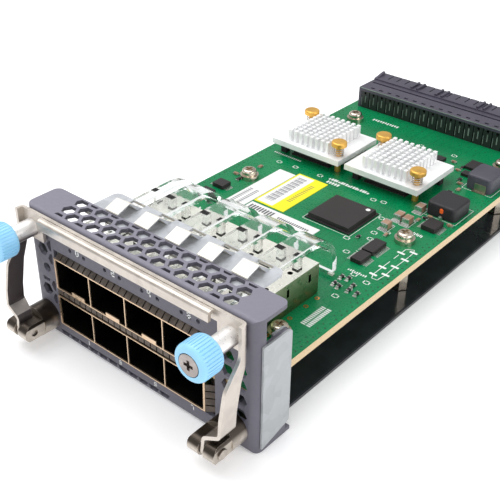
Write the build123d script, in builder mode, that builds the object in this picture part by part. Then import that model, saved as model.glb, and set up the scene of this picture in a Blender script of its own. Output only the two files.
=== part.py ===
from build123d import *
import os
from math import sqrt

# Switch expansion module: an eight-port network card for a 1U switch chassis.
# Millimetres. X runs right along the faceplate, Y runs into the chassis, Z is up.
# The origin is on the front plane of the faceplate, under the middle of the port
# cages, at the height of the underside of the tray.

# Faceplate, a folded and painted steel sheet
FACE_LEFT = -40.4
FACE_RIGHT = 45.5
FACE_HEIGHT = 42.4
FACE_SHEET = 1.2
SIDE_BEND = 3.0
TOP_BEND = 1.6
TOP_FLANGE_DEPTH = 12.3
BOTTOM_FLANGE_DEPTH = 14.0
SIDE_FLANGE_DEPTH = 12.2
SIDE_FLANGE_TOP = 34.1
BEND_STRIP_DEPTH = 3.4
FLANGE_CORNER = 2.0

# Honeycomb vents
VENT_PITCH = 4.8
VENT_FLATS = 3.8
VENT_COLUMN = VENT_PITCH * sqrt(3) / 2
TOP_VENT_RIGHT = 34.5
TOP_VENT_COLUMNS = 16
TOP_VENT_FIRST_ROW = 3.2
TOP_VENT_FRONT = 1.7
TOP_VENT_MARGIN = 0.6
SIDE_VENT_RIGHT = 36.2
SIDE_VENT_TOP = 28.3
LEFT_VENT_X = -34.5
LEFT_VENT_HIGH = 29.5
LEFT_VENT_LOW = 15.6
LEFT_VENT_EDGE = -30.6
LEFT_VENT_BAND = 5.0
LEFT_VENT_RISE = 4.1
FOOT_VENT_LEFT = -28.6
FOOT_VENT_COUNT = 11
FOOT_VENT_Z = 2.9
FOOT_VENT_HEIGHT = 1.6

# Printed circuit board
BOARD_WIDTH = 84.0
BOARD_FRONT = 1.8
BOARD_BACK = 178.0
BOARD_THICK = 2.5
BOARD_TOP = 18.8
BOARD_NOTCH_DEPTH = 13.5
BOARD_NOTCH_WALL = 0.6
BOARD_CORNER = 1.5

# Port cages, four ports above the board and four below it
PORT_PITCH = 14.25
PORT_COLUMNS = 4
CAGE_HEIGHT = 10.2
CAGE_DEPTH = 47.8
CAGE_SHEET = 0.35
CAGE_PROUD = 0.8
CAGE_SIDE_MARGIN = 0.45
CAGE_GAP_LEFT = 0.7
LATCH_WIDTH = 5.4
LATCH_HEIGHT = 1.1
LATCH_OFFSET = 1.8
CAGE_HOLE_FRONT = 27.0
CAGE_HOLE_BACK = 37.5
CAGE_HOLE_OFFSET = 4.6
CAGE_HOLE_RADIUS = 0.8
CAGE_LANCE_FRONT = 33.0
CAGE_LANCE_BACK = 42.8
CAGE_LANCE_WIDTH = 1.1
CAGE_LANCE_HEIGHT = 2.6
CAGE_LANCE_RISE = 0.6
FINGER_PITCH = 2.375
FINGER_WIDTH = 1.95
FINGER_SHEET = 0.25
FINGER_BOW_TOP = 1.3
FINGER_BOW_BOTTOM = 0.6
FINGER_BOW_RIGHT = 2.2
FINGER_GAP_TOP = 0.75
FINGER_GAP_BOTTOM = 0.25
FINGER_GAP_RIGHT = 0.45
FINGER_ROOT = 2.2
FINGER_CREST = 0.7
FINGER_TIP = -0.7
FINGER_TIP_LAND = 0.4
FINGER_ROOT_LAND = 0.5
FINGER_BAND = 5.5
MIDDLE_FRONT = -0.5
MIDDLE_BACK = 1.6
MIDDLE_GAP = 0.1
MIDDLE_SLOPE = 0.35
MIDDLE_SLIT = 0.4
MIDDLE_SPINE = 0.5

# Host connectors at the back of each port
HOST_WIDTH = 11.4
HOST_DEPTH = 11.0
HOST_HEIGHT = 6.4
HOST_BACK = 45.8
HOST_SLOT_WIDTH = 9.2
HOST_SLOT_HEIGHT = 1.5
HOST_SLOT_DEPTH = 6.5
HOST_CLEARANCE = 0.3

# Light pipes over the upper cage
LED_PAIR_SPACING = 5.75
LED_OFFSET = 2.2
LED_Z = 33.9
LED_HOLE = 1.3
PIPE_SIZE = 2.0
PIPE_BEND = 11.0
PIPE_BEND_START = 46.0
PIPE_END_GAP = 0.9
PIPE_WEB_START = 29.0
PIPE_FOOT_FRONT = 20.0
PIPE_FOOT_BACK = 40.0
PIPE_FRONT = 1.5
LED_BODY_WIDTH = 1.6
LED_BODY_DEPTH = 1.2
LED_BODY_HEIGHT = 0.7
STATUS_X = -33.6
STATUS_Z = 23.5
STATUS_HOLE = 3.0
STATUS_PIPE_X = -28.2
STATUS_PIPE_START = 6.0

# Springy grounding strip on top and clips on the sides
STRIP_LEFT = -27.0
STRIP_RIGHT = 35.6
STRIP_BACK = 23.0
STRIP_LAP = 2.6
STRIP_SHEET = 0.8
STRIP_FINGERS = 5
STRIP_FINGER_PITCH = 11.7
STRIP_FINGER_LEFT = -17.4
STRIP_SLOT_Y = 21.9
STRIP_CREST_Y = 16.6
STRIP_TIP_Y = 12.0
STRIP_TIP_GAP = 0.25
STRIP_FINGER_WIDTH = 5.2
STRIP_FINGER_RISE = 2.2
STRIP_FINGER_SHEET = 0.4
STRIP_SLOT = 1.6
CLIP_SHEET = 0.6
CLIP_FRONT = 1.9
CLIP_BACK = 12.8
CLIP_MIDDLE = 7.5
CLIP_CORNER = 1.4
CLIP_TOP = 34.6
CLIP_FOOT = 1.6
CLIP_FOOT_RISE = 2.9

# Carrying handle, one bent strip with a folded grip
HANDLE_MIDDLE = 1.5
HANDLE_SHEET = 1.0
HANDLE_HALF = 42.0
HANDLE_TOP = 42.2
HANDLE_GAP = 0.6
HANDLE_CORNER_DROP = 8.8
HANDLE_CORNER_IN = 9.2
HANDLE_BEND = 1.6
GRIP_HALF = 32.0
GRIP_DEPTH = 3.3
GRIP_LIP = 3.0
GRIP_ROUND = 1.2
GRIP_SEAM_FROM_BACK = 1.2
GRIP_SEAM_WIDTH = 0.3
GRIP_SEAM_DEPTH = 0.3
WEB_DROP = 3.4
ARM_TOP_WIDTH = 2.7
ARM_WIDTH = 5.6
ARM_KINK = 33.2
ARM_MIDDLE_Z = 26.0
ARM_LOW_Z = 18.0
ARM_JOG_LOW = 10.4
ARM_JOG_HIGH = 12.9
ARM_FRONT_REACH = 10.9
ARM_LOW_REACH = 10.5
ARM_MIDDLE_REACH = 8.9
ARM_END_RADIUS = 2.6
ARM_JOG_BEND = 1.3
ARM_EDGE_BEND = 4.0

# Posts and pivot pins that carry the handle
POST_HALF = 36.6
POST_Z = 6.4
POST_RADIUS = 4.8
POST_LENGTH = 12.6
POST_SHOULDER = 5.6
POST_FLAT = 0.35
EAR_HALF_HEIGHT = 2.7
EAR_SLOT_CLEARANCE = 0.35
PIN_Y = -9.3
PIN_RADIUS = 1.1
PIN_HEAD_RADIUS = 1.6
PIN_HEAD = 0.5
PIN_CLEARANCE = 0.08
PIN_RECESS = 0.6
STUD_RADIUS = 2.0
STUD_LENGTH = 2.6
STUD_HEAD_RADIUS = 3.2

# Captive thumbscrews on the handle
SCREW_HALF = 37.4
SCREW_Z = 37.0
THREAD_RADIUS = 2.0
SHANK_RADIUS = 1.4
SCREW_TRAVEL = 3.5
SCREW_CLEARANCE = 0.1
SCREW_SETBACK = 0.3
FERRULE_RADIUS = 2.6
FERRULE_REACH = 7.8
FERRULE_LIP = 1.2
FERRULE_SHOULDER = 0.8
FERRULE_FLANGE = 0.3
KNOB_RADIUS = 5.2
KNOB_BACK = -9.1
KNOB_LENGTH = 7.2
KNOB_ROUND = 1.5
KNOB_GROOVES = 36
KNOB_GROOVE_DEPTH = 0.15
KNOB_GROOVE_WIDTH = 0.3
KNOB_FERRULE_GAP = 0.35
SCREW_HEAD_RADIUS = 3.0
SCREW_HEAD_LENGTH = 1.2
SCREW_HEAD_GAP = 0.2
HEAD_PROUD = 0.1
CROSS_WIDTH = 0.9
CROSS_LENGTH = 2.9
CROSS_DEPTH = 0.9
THRUST_WASHER = 0.3
SPRING_WIRE = 0.3
SPRING_TURNS = 3
SPRING_SLACK = 0.1
SPRING_RADIUS = 2.2
FACE_HOLE_GAP = 0.6

# Tray under the board, with its insulating film
TRAY_SHEET = 1.0
TRAY_RIGHT = 40.7
TRAY_LEFT = -40.9
TRAY_GAP = 0.3
TRAY_BACK = 182.0
TONGUE_FRONT = 4.0
TONGUE_HALF = 30.0
FILM_THICK = 0.25
FILM_MARGIN = 0.6
RIVET_RADIUS = 1.5
RIVET_COUNT = 4
RIVET_SPACING = 18.0
RIVET_INSET = 3.5
RIVET_HEAD = 0.6
RIVET_HEAD_RADIUS = 2.55

# Stand-offs and screws between tray and board
SCREW_LEFT = -31.4
SCREW_RIGHT = 32.8
SCREW_FRONT_LEFT = -32.8
SCREW_FRONT_Y = 24.7
SCREW_ROWS = (87.5, 152.8)
STANDOFF_RADIUS = 2.4
M3_RADIUS = 1.5
BOARD_HOLE_RADIUS = 1.7
WASHER_RADIUS = 3.3
WASHER_THICK = 1.5
HEAD_RADIUS = 2.6
HEAD_HEIGHT = 2.0
THREAD_DEPTH = 5.0

# Heat sinks over the two transceiver chips
SINK_WIDTH = 29.6
SINK_DEPTH = 24.4
SINK_BASE = 2.0
SINK_TOP = 25.0
SINK_LEFT_X = -23.0
SINK_RIGHT_X = 9.3
SINK_Y = 120.3
FIN_COLUMNS = 8
FIN_ROWS = 9
FIN_PITCH = 2.35
FIN_WIDTH = 1.15
FIN_LENGTH = 1.55
FIN_HEIGHT = 4.4
CHIP_SIZE = 17.0
PAD_THICK = 0.6
PAD_INSET = 0.6
PUSH_INSET_X = 2.9
PUSH_INSET_Y = 4.4
PUSH_RADIUS = 1.1
PUSH_HEAD_RADIUS = 2.8
PUSH_HEAD_HEIGHT = 1.7
PUSH_HEAD_Z = 30.4
PUSH_TIP = 3.0
PUSH_CLEARANCE = 0.1
PUSH_SPRING_RADIUS = 1.7
PIN_SPRING_WIRE = 0.35
PIN_SPRING_TURNS = 4
CORNER_PAD = 2.4

# Chips, coils and capacitors on the board
MAIN_CHIP_X = 8.9
MAIN_CHIP_Y = 87.2
MAIN_CHIP_SIZE = 17.4
MAIN_CHIP_HEIGHT = 1.9
MAIN_CHIP_TAPER = 8
SUBSTRATE = 0.5
LEAD_LENGTH = 1.1
LEAD_THICK = 0.25
LEAD_PITCH = 0.65
LEAD_WIDTH = 0.3
LOGIC_CHIPS = ((28.2, 77.2, 4.0, 7.8), (28.4, 69.6, 3.8, 5.8),
               (-34.6, 76.4, 4.6, 4.4), (-34.6, 68.6, 4.6, 4.4))
LOGIC_HEIGHT = 1.5
POWER_CHIP_X = 35.2
POWER_CHIP_Y = 100.2
POWER_CHIP_SIZE = 6.0
POWER_CHIP_HEIGHT = 1.7
COIL_X = 33.9
COIL_Y = 112.6
COIL_SIZE = 10.8
COIL_HEIGHT = 4.8
COIL_ROUND = 1.6
COIL_TOP_ROUND = 0.8
BACK_COIL_X = 34.3
BACK_COIL_Y = 137.4
BACK_COIL_WIDTH = 9.6
BACK_COIL_DEPTH = 11.0
BACK_COIL_HEIGHT = 5.6
CAPACITORS = ((24.2, 98.0), (27.6, 97.6), (23.9, 90.6), (26.6, 107.2))
CAPACITOR_WIDTH = 2.5
CAPACITOR_DEPTH = 3.2
CAPACITOR_HEIGHT = 2.3
PASSIVES = ((29.8, 57.7), (31.8, 58.3), (30.1, 53.6), (32.0, 53.1),
            (35.0, 56.0), (35.3, 53.4), (38.1, 53.4))
PASSIVE_WIDTH = 0.9
PASSIVE_DEPTH = 1.7
PASSIVE_HEIGHT = 0.8
REAR_CHIPS = ((10.4, 139.6, 4.4, 3.4), (12.4, 144.2, 3.4, 3.4),
              (25.4, 147.6, 6.4, 6.4), (26.0, 140.2, 4.0, 3.0))
REAR_CHIP_HEIGHT = 1.1

# Paper labels on the board
LABEL_THICK = 0.2
WHITE_LABEL = (-27.0, -19.9, 68.0, 99.4)
YELLOW_LABEL = (-19.6, -7.1, 76.1, 101.3)
LONG_LABEL = (-19.3, 9.0, 69.8, 75.0)

# Backplane connector at the rear edge
PLUG_LEFT = -38.7
PLUG_RIGHT = 38.7
PLUG_FRONT = 165.4
PLUG_TOP = 27.2
PLUG_COVER = 1.2
PLUG_SHROUD_FRONT = 176.2
PLUG_SHROUD_BACK = 185.0
PLUG_SHROUD_TOP = 27.7
PLUG_SHROUD_CHAMFER = 1.0
PLUG_SHROUD_BOTTOM = 17.4
PLUG_WALL = 1.4
WAFER_COUNT = 19
WAFER_PITCH = 3.95
WAFER_GAP = 0.35
WAFER_HOLE = 0.55
WAFER_HOLE_Z = 25.2
WAFER_SLOT_WIDTH = 0.7
WAFER_SLOT_DEPTH = 0.4
WAFER_SLOT_FOOT = 2.0
WAFER_SLOT_GAP = 1.0
WAFER_HOLE_DEPTH = 2.0
GROOVE_Y = 173.2
GROOVE_WIDTH = 1.1
GROOVE_DEPTH = 0.9
NOTCH_Y = 167.6
NOTCH_WIDTH = 1.8
NOTCH_LENGTH = 1.1
NOTCH_DEPTH = 0.9
TOOTH_SLOT = 0.5
TOOTH_SLOT_FRONT = 2.6
TOOTH_SLOT_DEPTH = 0.5
RIB_PAIRS = (-19.9, -8.7, 9.9, 21.1)
RIB_PAIR_HALF = 1.35
RIB_WIDTH = 0.8
RIB_HEIGHT = 0.8
RIB_INSET = 0.6
BLADE_WIDTH = 1.6
BLADE_THICK = 0.5
BLADE_REACH = 5.5
BLADE_LOW = 21.6
BLADE_HIGH = 24.8
HOOK_TIP = 6.6
HOOK_ROOT = 5.0
HOOK_HEIGHT = 1.2

# Values worked out from the dimensions above
face_middle = (FACE_LEFT + FACE_RIGHT) / 2
board_bottom = BOARD_TOP - BOARD_THICK
cage_half = PORT_PITCH * PORT_COLUMNS / 2 + CAGE_SIDE_MARGIN
cage_back = CAGE_DEPTH - CAGE_PROUD
upper_cage_top = BOARD_TOP + CAGE_HEIGHT
lower_cage_bottom = board_bottom - CAGE_HEIGHT
opening_right = cage_half + FINGER_BOW_RIGHT + FINGER_SHEET + FINGER_GAP_RIGHT
opening_top = upper_cage_top + FINGER_BOW_TOP + FINGER_SHEET + FINGER_GAP_TOP
opening_bottom = lower_cage_bottom - FINGER_BOW_BOTTOM - FINGER_SHEET - FINGER_GAP_BOTTOM
port_centres = [PORT_PITCH * (i - (PORT_COLUMNS - 1) / 2) for i in range(PORT_COLUMNS)]
port_width = PORT_PITCH - CAGE_SHEET
web_front = -HANDLE_GAP - HANDLE_SHEET
ferrule_front = web_front - FERRULE_REACH
knob_front = KNOB_BACK - KNOB_LENGTH
spring_solid = (SPRING_TURNS + 1) * SPRING_WIRE + SPRING_SLACK
recess_end = ferrule_front - SCREW_TRAVEL - spring_solid - THRUST_WASHER
thread_start = ferrule_front + FERRULE_LIP + SCREW_CLEARANCE
thread_tip = -HANDLE_GAP - SCREW_SETBACK
rivet_points = [((i - (RIVET_COUNT - 1) / 2) * RIVET_SPACING, TONGUE_FRONT + RIVET_INSET)
                for i in range(RIVET_COUNT)]
board_screw_points = [(SCREW_FRONT_LEFT, SCREW_FRONT_Y), (SCREW_RIGHT, SCREW_FRONT_Y)]
board_screw_points += [(x, y) for x in (SCREW_LEFT, SCREW_RIGHT) for y in SCREW_ROWS]
chip_top = SINK_TOP - SINK_BASE - PAD_THICK
sink_under = SINK_TOP - SINK_BASE
push_x = SINK_WIDTH / 2 - PUSH_INSET_X
push_y = SINK_DEPTH / 2 - PUSH_INSET_Y
wafer_centres = [WAFER_PITCH * (i - (WAFER_COUNT - 1) / 2) for i in range(WAFER_COUNT)]
plug_end_wall = PLUG_RIGHT - wafer_centres[-1] - WAFER_PITCH / 2
sides = (("left", -1), ("right", 1))


def block(x0, x1, y0, y1, z0, z1, mode=Mode.ADD):
    """A plain block between two corners."""
    with Locations(((x0 + x1) / 2, (y0 + y1) / 2, (z0 + z1) / 2)):
        Box(x1 - x0, y1 - y0, z1 - z0, mode=mode)


def rod(x, z, y0, y1, radius, mode=Mode.ADD):
    """A round bar along Y from y0 to y1."""
    with BuildSketch(Plane.XZ.offset(-y0)) as end:
        with Locations((x, z)):
            Circle(radius)
    extrude(end.sketch, amount=y0 - y1, mode=mode)


def upright(x, y, z0, z1, radius, mode=Mode.ADD):
    """A round bar along Z from z0 to z1."""
    with BuildSketch(Plane.XY.offset(z0)) as end:
        with Locations((x, y)):
            Circle(radius)
    extrude(end.sketch, amount=z1 - z0, mode=mode)


def save(piece, name):
    """Name a finished piece and write it."""
    piece.part.label = name
    export_step(piece.part, f"parts/{name}.step")


def hexagon(flats):
    """A vent hole with two flats across the sheet and its points to the sides."""
    RegularPolygon(flats / 2, 6, major_radius=False, rotation=0)


os.makedirs("parts", exist_ok=True)

# Side returns of the faceplate with the rounded vertical bends
with BuildPart() as face_sides:
    with BuildSketch(Plane.XY):
        with BuildLine():
            rim = Polyline(
                (FACE_LEFT, SIDE_FLANGE_DEPTH), (FACE_LEFT, 0), (FACE_RIGHT, 0), (FACE_RIGHT, SIDE_FLANGE_DEPTH),
                (FACE_RIGHT - FACE_SHEET, SIDE_FLANGE_DEPTH), (FACE_RIGHT - FACE_SHEET, FACE_SHEET),
                (FACE_LEFT + FACE_SHEET, FACE_SHEET), (FACE_LEFT + FACE_SHEET, SIDE_FLANGE_DEPTH), close=True)
        make_face()
        corners = vertices().group_by(Axis.Y)
        fillet(corners[0], SIDE_BEND)
        fillet(corners[1], SIDE_BEND - FACE_SHEET)
    extrude(amount=FACE_HEIGHT)
    with BuildSketch(Plane.YZ.offset(FACE_LEFT)):
        with Locations((BOTTOM_FLANGE_DEPTH / 2, FACE_HEIGHT / 2)):
            Rectangle(BOTTOM_FLANGE_DEPTH, FACE_HEIGHT)
        fillet(vertices().group_by(Axis.X)[0], TOP_BEND)
    extrude(amount=FACE_RIGHT - FACE_LEFT, mode=Mode.INTERSECT)
    # Above the side returns the corner is open behind the bend
    block(FACE_LEFT - 1, FACE_RIGHT + 1, BEND_STRIP_DEPTH, TOP_FLANGE_DEPTH + 1,
          SIDE_FLANGE_TOP, FACE_HEIGHT + 1, Mode.SUBTRACT)

# Faceplate: front, top and bottom flanges and side returns folded from one sheet
with BuildPart() as faceplate:
    with BuildSketch(Plane.YZ.offset(FACE_LEFT)):
        with BuildLine():
            Polyline(
                (TOP_FLANGE_DEPTH, FACE_HEIGHT), (0, FACE_HEIGHT), (0, 0), (BOTTOM_FLANGE_DEPTH, 0),
                (BOTTOM_FLANGE_DEPTH, FACE_SHEET), (FACE_SHEET, FACE_SHEET),
                (FACE_SHEET, FACE_HEIGHT - FACE_SHEET), (TOP_FLANGE_DEPTH, FACE_HEIGHT - FACE_SHEET), close=True)
        make_face()
        bends = vertices().group_by(Axis.X)
        fillet(bends[0], TOP_BEND)
        fillet(bends[1], TOP_BEND - FACE_SHEET)
    extrude(amount=FACE_RIGHT - FACE_LEFT)
    with BuildSketch(Plane.XY):
        with Locations((face_middle, BOTTOM_FLANGE_DEPTH / 2)):
            Rectangle(FACE_RIGHT - FACE_LEFT, BOTTOM_FLANGE_DEPTH)
        fillet(vertices().group_by(Axis.Y)[0], SIDE_BEND)
    extrude(amount=FACE_HEIGHT, mode=Mode.INTERSECT)
    top_corners = faceplate.edges().filter_by(Axis.Z).group_by(Axis.Z)[-1].group_by(Axis.Y)[-1]
    fillet(top_corners, FLANGE_CORNER)
    add(face_sides.part)
    # Opening for the cages
    block(-cage_half - CAGE_GAP_LEFT, opening_right, -1, FACE_SHEET + 1,
          opening_bottom, opening_top, Mode.SUBTRACT)
    # Honeycomb in the top flange, open columns in turn with offset ones
    with BuildSketch(Plane.XY.offset(FACE_HEIGHT + 1)) as top_vents:
        for column in range(TOP_VENT_COLUMNS):
            x = TOP_VENT_RIGHT - column * VENT_COLUMN
            shift = VENT_PITCH / 2 if column % 2 else 0
            for row in range(-1, 3):
                with Locations((x, TOP_VENT_FIRST_ROW + row * VENT_PITCH + shift)):
                    hexagon(VENT_FLATS)
        with Locations((face_middle, (TOP_VENT_FRONT + TOP_FLANGE_DEPTH - TOP_VENT_MARGIN) / 2)):
            Rectangle(FACE_RIGHT - FACE_LEFT, TOP_FLANGE_DEPTH - TOP_VENT_MARGIN - TOP_VENT_FRONT,
                      mode=Mode.INTERSECT)
    extrude(amount=-FACE_SHEET - 2, mode=Mode.SUBTRACT)
    # Honeycomb at both ends of the front; on the left its outer cells are cut off straight
    with BuildSketch(Plane.XZ.offset(1)) as front_vents:
        for column in range(2):
            for row in range(4):
                z = SIDE_VENT_TOP - row * VENT_PITCH - column * VENT_PITCH / 2
                with Locations((SIDE_VENT_RIGHT + column * VENT_COLUMN, z)):
                    hexagon(VENT_FLATS)
    extrude(amount=-FACE_SHEET - 2, mode=Mode.SUBTRACT)
    for z, cells in ((LEFT_VENT_HIGH, 1), (LEFT_VENT_LOW, 2)):
        with BuildSketch(Plane.XZ.offset(1)) as left_vents:
            for i in range(cells):
                with Locations((LEFT_VENT_X, z + i * VENT_PITCH)):
                    hexagon(VENT_FLATS)
            for half in (-0.5, 0.5):
                with Locations((LEFT_VENT_X + VENT_COLUMN, z + half * VENT_PITCH)):
                    hexagon(VENT_FLATS)
            with Locations((LEFT_VENT_EDGE - LEFT_VENT_BAND, z)):
                Rectangle(2 * LEFT_VENT_BAND, 2 * LEFT_VENT_RISE, mode=Mode.INTERSECT)
        extrude(amount=-FACE_SHEET - 2, mode=Mode.SUBTRACT)
    # Row of half cells along the foot
    with BuildSketch(Plane.XZ.offset(1)) as foot_vents:
        for column in range(FOOT_VENT_COUNT):
            with Locations((FOOT_VENT_LEFT + column * VENT_COLUMN, FOOT_VENT_Z)):
                hexagon(VENT_FLATS)
        with Locations((face_middle, FOOT_VENT_Z - VENT_FLATS / 4)):
            Rectangle(FACE_RIGHT - FACE_LEFT, FOOT_VENT_HEIGHT, mode=Mode.INTERSECT)
    extrude(amount=-FACE_SHEET - 2, mode=Mode.SUBTRACT)
    # Indicator holes, thumbscrew holes and stud holes
    for centre in port_centres:
        for half in (-0.5, 0.5):
            rod(centre + LED_OFFSET + half * LED_PAIR_SPACING, LED_Z, -1, 3, LED_HOLE / 2, Mode.SUBTRACT)
    rod(STATUS_X, STATUS_Z, -1, 3, STATUS_HOLE / 2, Mode.SUBTRACT)
    for _, side in sides:
        rod(HANDLE_MIDDLE + side * SCREW_HALF, SCREW_Z, -1, 3, THREAD_RADIUS + FACE_HOLE_GAP, Mode.SUBTRACT)
        rod(HANDLE_MIDDLE + side * POST_HALF, POST_Z, -1, 3, STUD_RADIUS, Mode.SUBTRACT)
    # Rivet holes in the bottom flange
    for x, y in rivet_points:
        upright(x, y, -1, 3, RIVET_RADIUS, Mode.SUBTRACT)
save(faceplate, "faceplate")

# Spring clips folded round the rear edge of each side return
for side_name, side in sides:
    wall_outer = FACE_RIGHT if side > 0 else FACE_LEFT
    wall_inner = wall_outer - side * FACE_SHEET
    with BuildPart() as side_clip:
        with BuildSketch(Plane.XY):
            with BuildLine():
                Polyline(
                    (wall_outer, CLIP_FRONT), (wall_outer + side * CLIP_SHEET, CLIP_FRONT),
                    (wall_outer + side * CLIP_SHEET, CLIP_BACK), (wall_inner - side * CLIP_SHEET, CLIP_BACK),
                    (wall_inner - side * CLIP_SHEET, CLIP_MIDDLE), (wall_inner, CLIP_MIDDLE),
                    (wall_inner, SIDE_FLANGE_DEPTH), (wall_outer, SIDE_FLANGE_DEPTH), close=True)
            make_face()
        extrude(amount=FACE_HEIGHT)
        with BuildSketch(Plane.YZ.offset(wall_outer - 3)):
            with BuildLine():
                Polyline((CLIP_FRONT, CLIP_FOOT), (CLIP_BACK, CLIP_FOOT + CLIP_FOOT_RISE),
                         (CLIP_BACK, CLIP_TOP), (CLIP_FRONT, CLIP_TOP), close=True)
            make_face()
            fillet(vertices().group_by(Axis.Y)[-1].sort_by(Axis.X)[-1], CLIP_CORNER)
        extrude(amount=6, mode=Mode.INTERSECT)
    save(side_clip, f"side_clip_{side_name}")

# Grounding strip tucked under the top flange, with five tent-shaped fingers
strip_top = FACE_HEIGHT - FACE_SHEET
with BuildPart() as finger_strip:
    with BuildSketch(Plane.XY.offset(strip_top - STRIP_SHEET)):
        with BuildLine():
            Polyline((STRIP_LEFT, TOP_FLANGE_DEPTH - STRIP_LAP), (STRIP_RIGHT, TOP_FLANGE_DEPTH - STRIP_LAP),
                     (STRIP_RIGHT, STRIP_BACK), (STRIP_LEFT, STRIP_BACK), close=True)
        make_face()
        fillet(vertices().group_by(Axis.Y)[-1], FLANGE_CORNER)
        for i in range(STRIP_FINGERS):
            with Locations((STRIP_FINGER_LEFT + i * STRIP_FINGER_PITCH, STRIP_SLOT_Y)):
                Rectangle(STRIP_FINGER_WIDTH, STRIP_SLOT, mode=Mode.SUBTRACT)
    extrude(amount=STRIP_SHEET)
    with BuildSketch(Plane.YZ.offset(STRIP_FINGER_LEFT - STRIP_FINGER_WIDTH / 2)) as tent:
        root_y = STRIP_SLOT_Y - STRIP_SLOT / 2
        with BuildLine():
            Polyline(
                (root_y, strip_top - STRIP_SHEET), (root_y - 1, strip_top - STRIP_SHEET),
                (STRIP_CREST_Y, FACE_HEIGHT + STRIP_FINGER_RISE - STRIP_FINGER_SHEET),
                (STRIP_TIP_Y, FACE_HEIGHT + STRIP_TIP_GAP),
                (STRIP_TIP_Y, FACE_HEIGHT + STRIP_TIP_GAP + STRIP_FINGER_SHEET),
                (STRIP_CREST_Y, FACE_HEIGHT + STRIP_FINGER_RISE),
                (root_y, strip_top), close=True)
        make_face()
    for i in range(STRIP_FINGERS):
        with Locations((i * STRIP_FINGER_PITCH, 0, 0)):
            add(extrude(tent.sketch, amount=STRIP_FINGER_WIDTH, mode=Mode.PRIVATE))
save(finger_strip, "grounding_finger_strip")


def port_cage(bottom, top, board_side):
    """A row of four ports in one folded cage; board_side is -1 when the board is below it."""
    floor = bottom if board_side < 0 else top
    inner_floor = floor - board_side * CAGE_SHEET
    with BuildPart() as cage:
        block(-cage_half, cage_half, -CAGE_PROUD, cage_back, bottom, top)
        for centre in port_centres:
            block(centre - port_width / 2, centre + port_width / 2, -CAGE_PROUD - 1, cage_back - CAGE_SHEET,
                  bottom + CAGE_SHEET, top - CAGE_SHEET, Mode.SUBTRACT)
            # Window over the host connector
            block(centre - HOST_WIDTH / 2 - HOST_CLEARANCE, centre + HOST_WIDTH / 2 + HOST_CLEARANCE,
                  HOST_BACK - HOST_DEPTH - HOST_CLEARANCE, HOST_BACK + HOST_CLEARANCE,
                  min(floor, inner_floor), max(floor, inner_floor), Mode.SUBTRACT)
            # Latch tab at the mouth, only over the board
            if board_side < 0:
                block(centre + LATCH_OFFSET - LATCH_WIDTH / 2, centre + LATCH_OFFSET + LATCH_WIDTH / 2,
                      -CAGE_PROUD, -CAGE_PROUD + CAGE_SHEET, floor, inner_floor + LATCH_HEIGHT)
            for hole_y in (CAGE_HOLE_FRONT, CAGE_HOLE_BACK):
                upright(centre + CAGE_HOLE_OFFSET, hole_y, bottom - 1, top + 1, CAGE_HOLE_RADIUS, Mode.SUBTRACT)
        # Lanced windows in the side walls
        middle = (bottom + top) / 2
        for lance_y in (CAGE_LANCE_FRONT, CAGE_LANCE_BACK):
            block(-cage_half - 1, cage_half + 1, lance_y - CAGE_LANCE_WIDTH / 2, lance_y + CAGE_LANCE_WIDTH / 2,
                  middle + CAGE_LANCE_RISE, middle + CAGE_LANCE_RISE + CAGE_LANCE_HEIGHT, Mode.SUBTRACT)
    return cage


def spring_finger(reach, lean):
    """The section of one bowed finger; it starts behind the faceplate and ends at the cage mouth."""
    with BuildSketch(Plane.XY, mode=Mode.PRIVATE) as section:
        with BuildLine():
            Polyline(
                (FINGER_ROOT, 0), (FINGER_ROOT, lean * FINGER_SHEET),
                (FINGER_CREST, lean * (reach + FINGER_SHEET)), (FINGER_TIP, lean * FINGER_SHEET),
                (FINGER_TIP, 0), (FINGER_TIP + FINGER_TIP_LAND, 0), (FINGER_CREST, lean * reach),
                (FINGER_ROOT - FINGER_ROOT_LAND, 0), close=True)
        make_face()
    return section.sketch


def cage_fingers(outer, lean, bow, bottom, top):
    """Bowed fingers along the outer long wall of a cage and up its right wall."""
    along = Plane(origin=(0, 0, outer), x_dir=(0, 1, 0), z_dir=(1, 0, 0))
    upward = Plane(origin=(cage_half, 0, 0), x_dir=(0, 1, 0), z_dir=(0, 0, -1))
    long_count = int(2 * cage_half / FINGER_PITCH)
    short_count = int((top - bottom) / FINGER_PITCH)
    with BuildPart() as fingers:
        flat = extrude(along * spring_finger(bow, lean), amount=FINGER_WIDTH, mode=Mode.PRIVATE)
        for i in range(long_count):
            x = (i - long_count / 2) * FINGER_PITCH + (FINGER_PITCH - FINGER_WIDTH) / 2
            add(Pos(x, 0, 0) * flat)
        edges = sorted((outer, outer + lean * FINGER_SHEET))
        block(-cage_half, cage_half + FINGER_SHEET, FINGER_ROOT, FINGER_BAND, edges[0], edges[1])
        tall = extrude(upward * spring_finger(FINGER_BOW_RIGHT, 1), amount=-FINGER_WIDTH, mode=Mode.PRIVATE)
        for i in range(short_count):
            add(Pos(0, 0, bottom + i * FINGER_PITCH + (FINGER_PITCH - FINGER_WIDTH) / 2) * tall)
        block(cage_half, cage_half + FINGER_SHEET, FINGER_ROOT, FINGER_BAND,
              min(bottom, edges[0]), max(top, edges[1]))
    return fingers


def host_connectors(base, direction):
    """Four edge sockets standing on one face of the board."""
    far = base + direction * HOST_HEIGHT
    middle = (base + far) / 2
    with BuildPart() as sockets:
        for centre in port_centres:
            block(centre - HOST_WIDTH / 2, centre + HOST_WIDTH / 2, HOST_BACK - HOST_DEPTH, HOST_BACK,
                  min(base, far), max(base, far))
            block(centre - HOST_SLOT_WIDTH / 2, centre + HOST_SLOT_WIDTH / 2,
                  HOST_BACK - HOST_DEPTH - 1, HOST_BACK - HOST_DEPTH + HOST_SLOT_DEPTH,
                  middle - HOST_SLOT_HEIGHT / 2, middle + HOST_SLOT_HEIGHT / 2, Mode.SUBTRACT)
    return sockets


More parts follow.
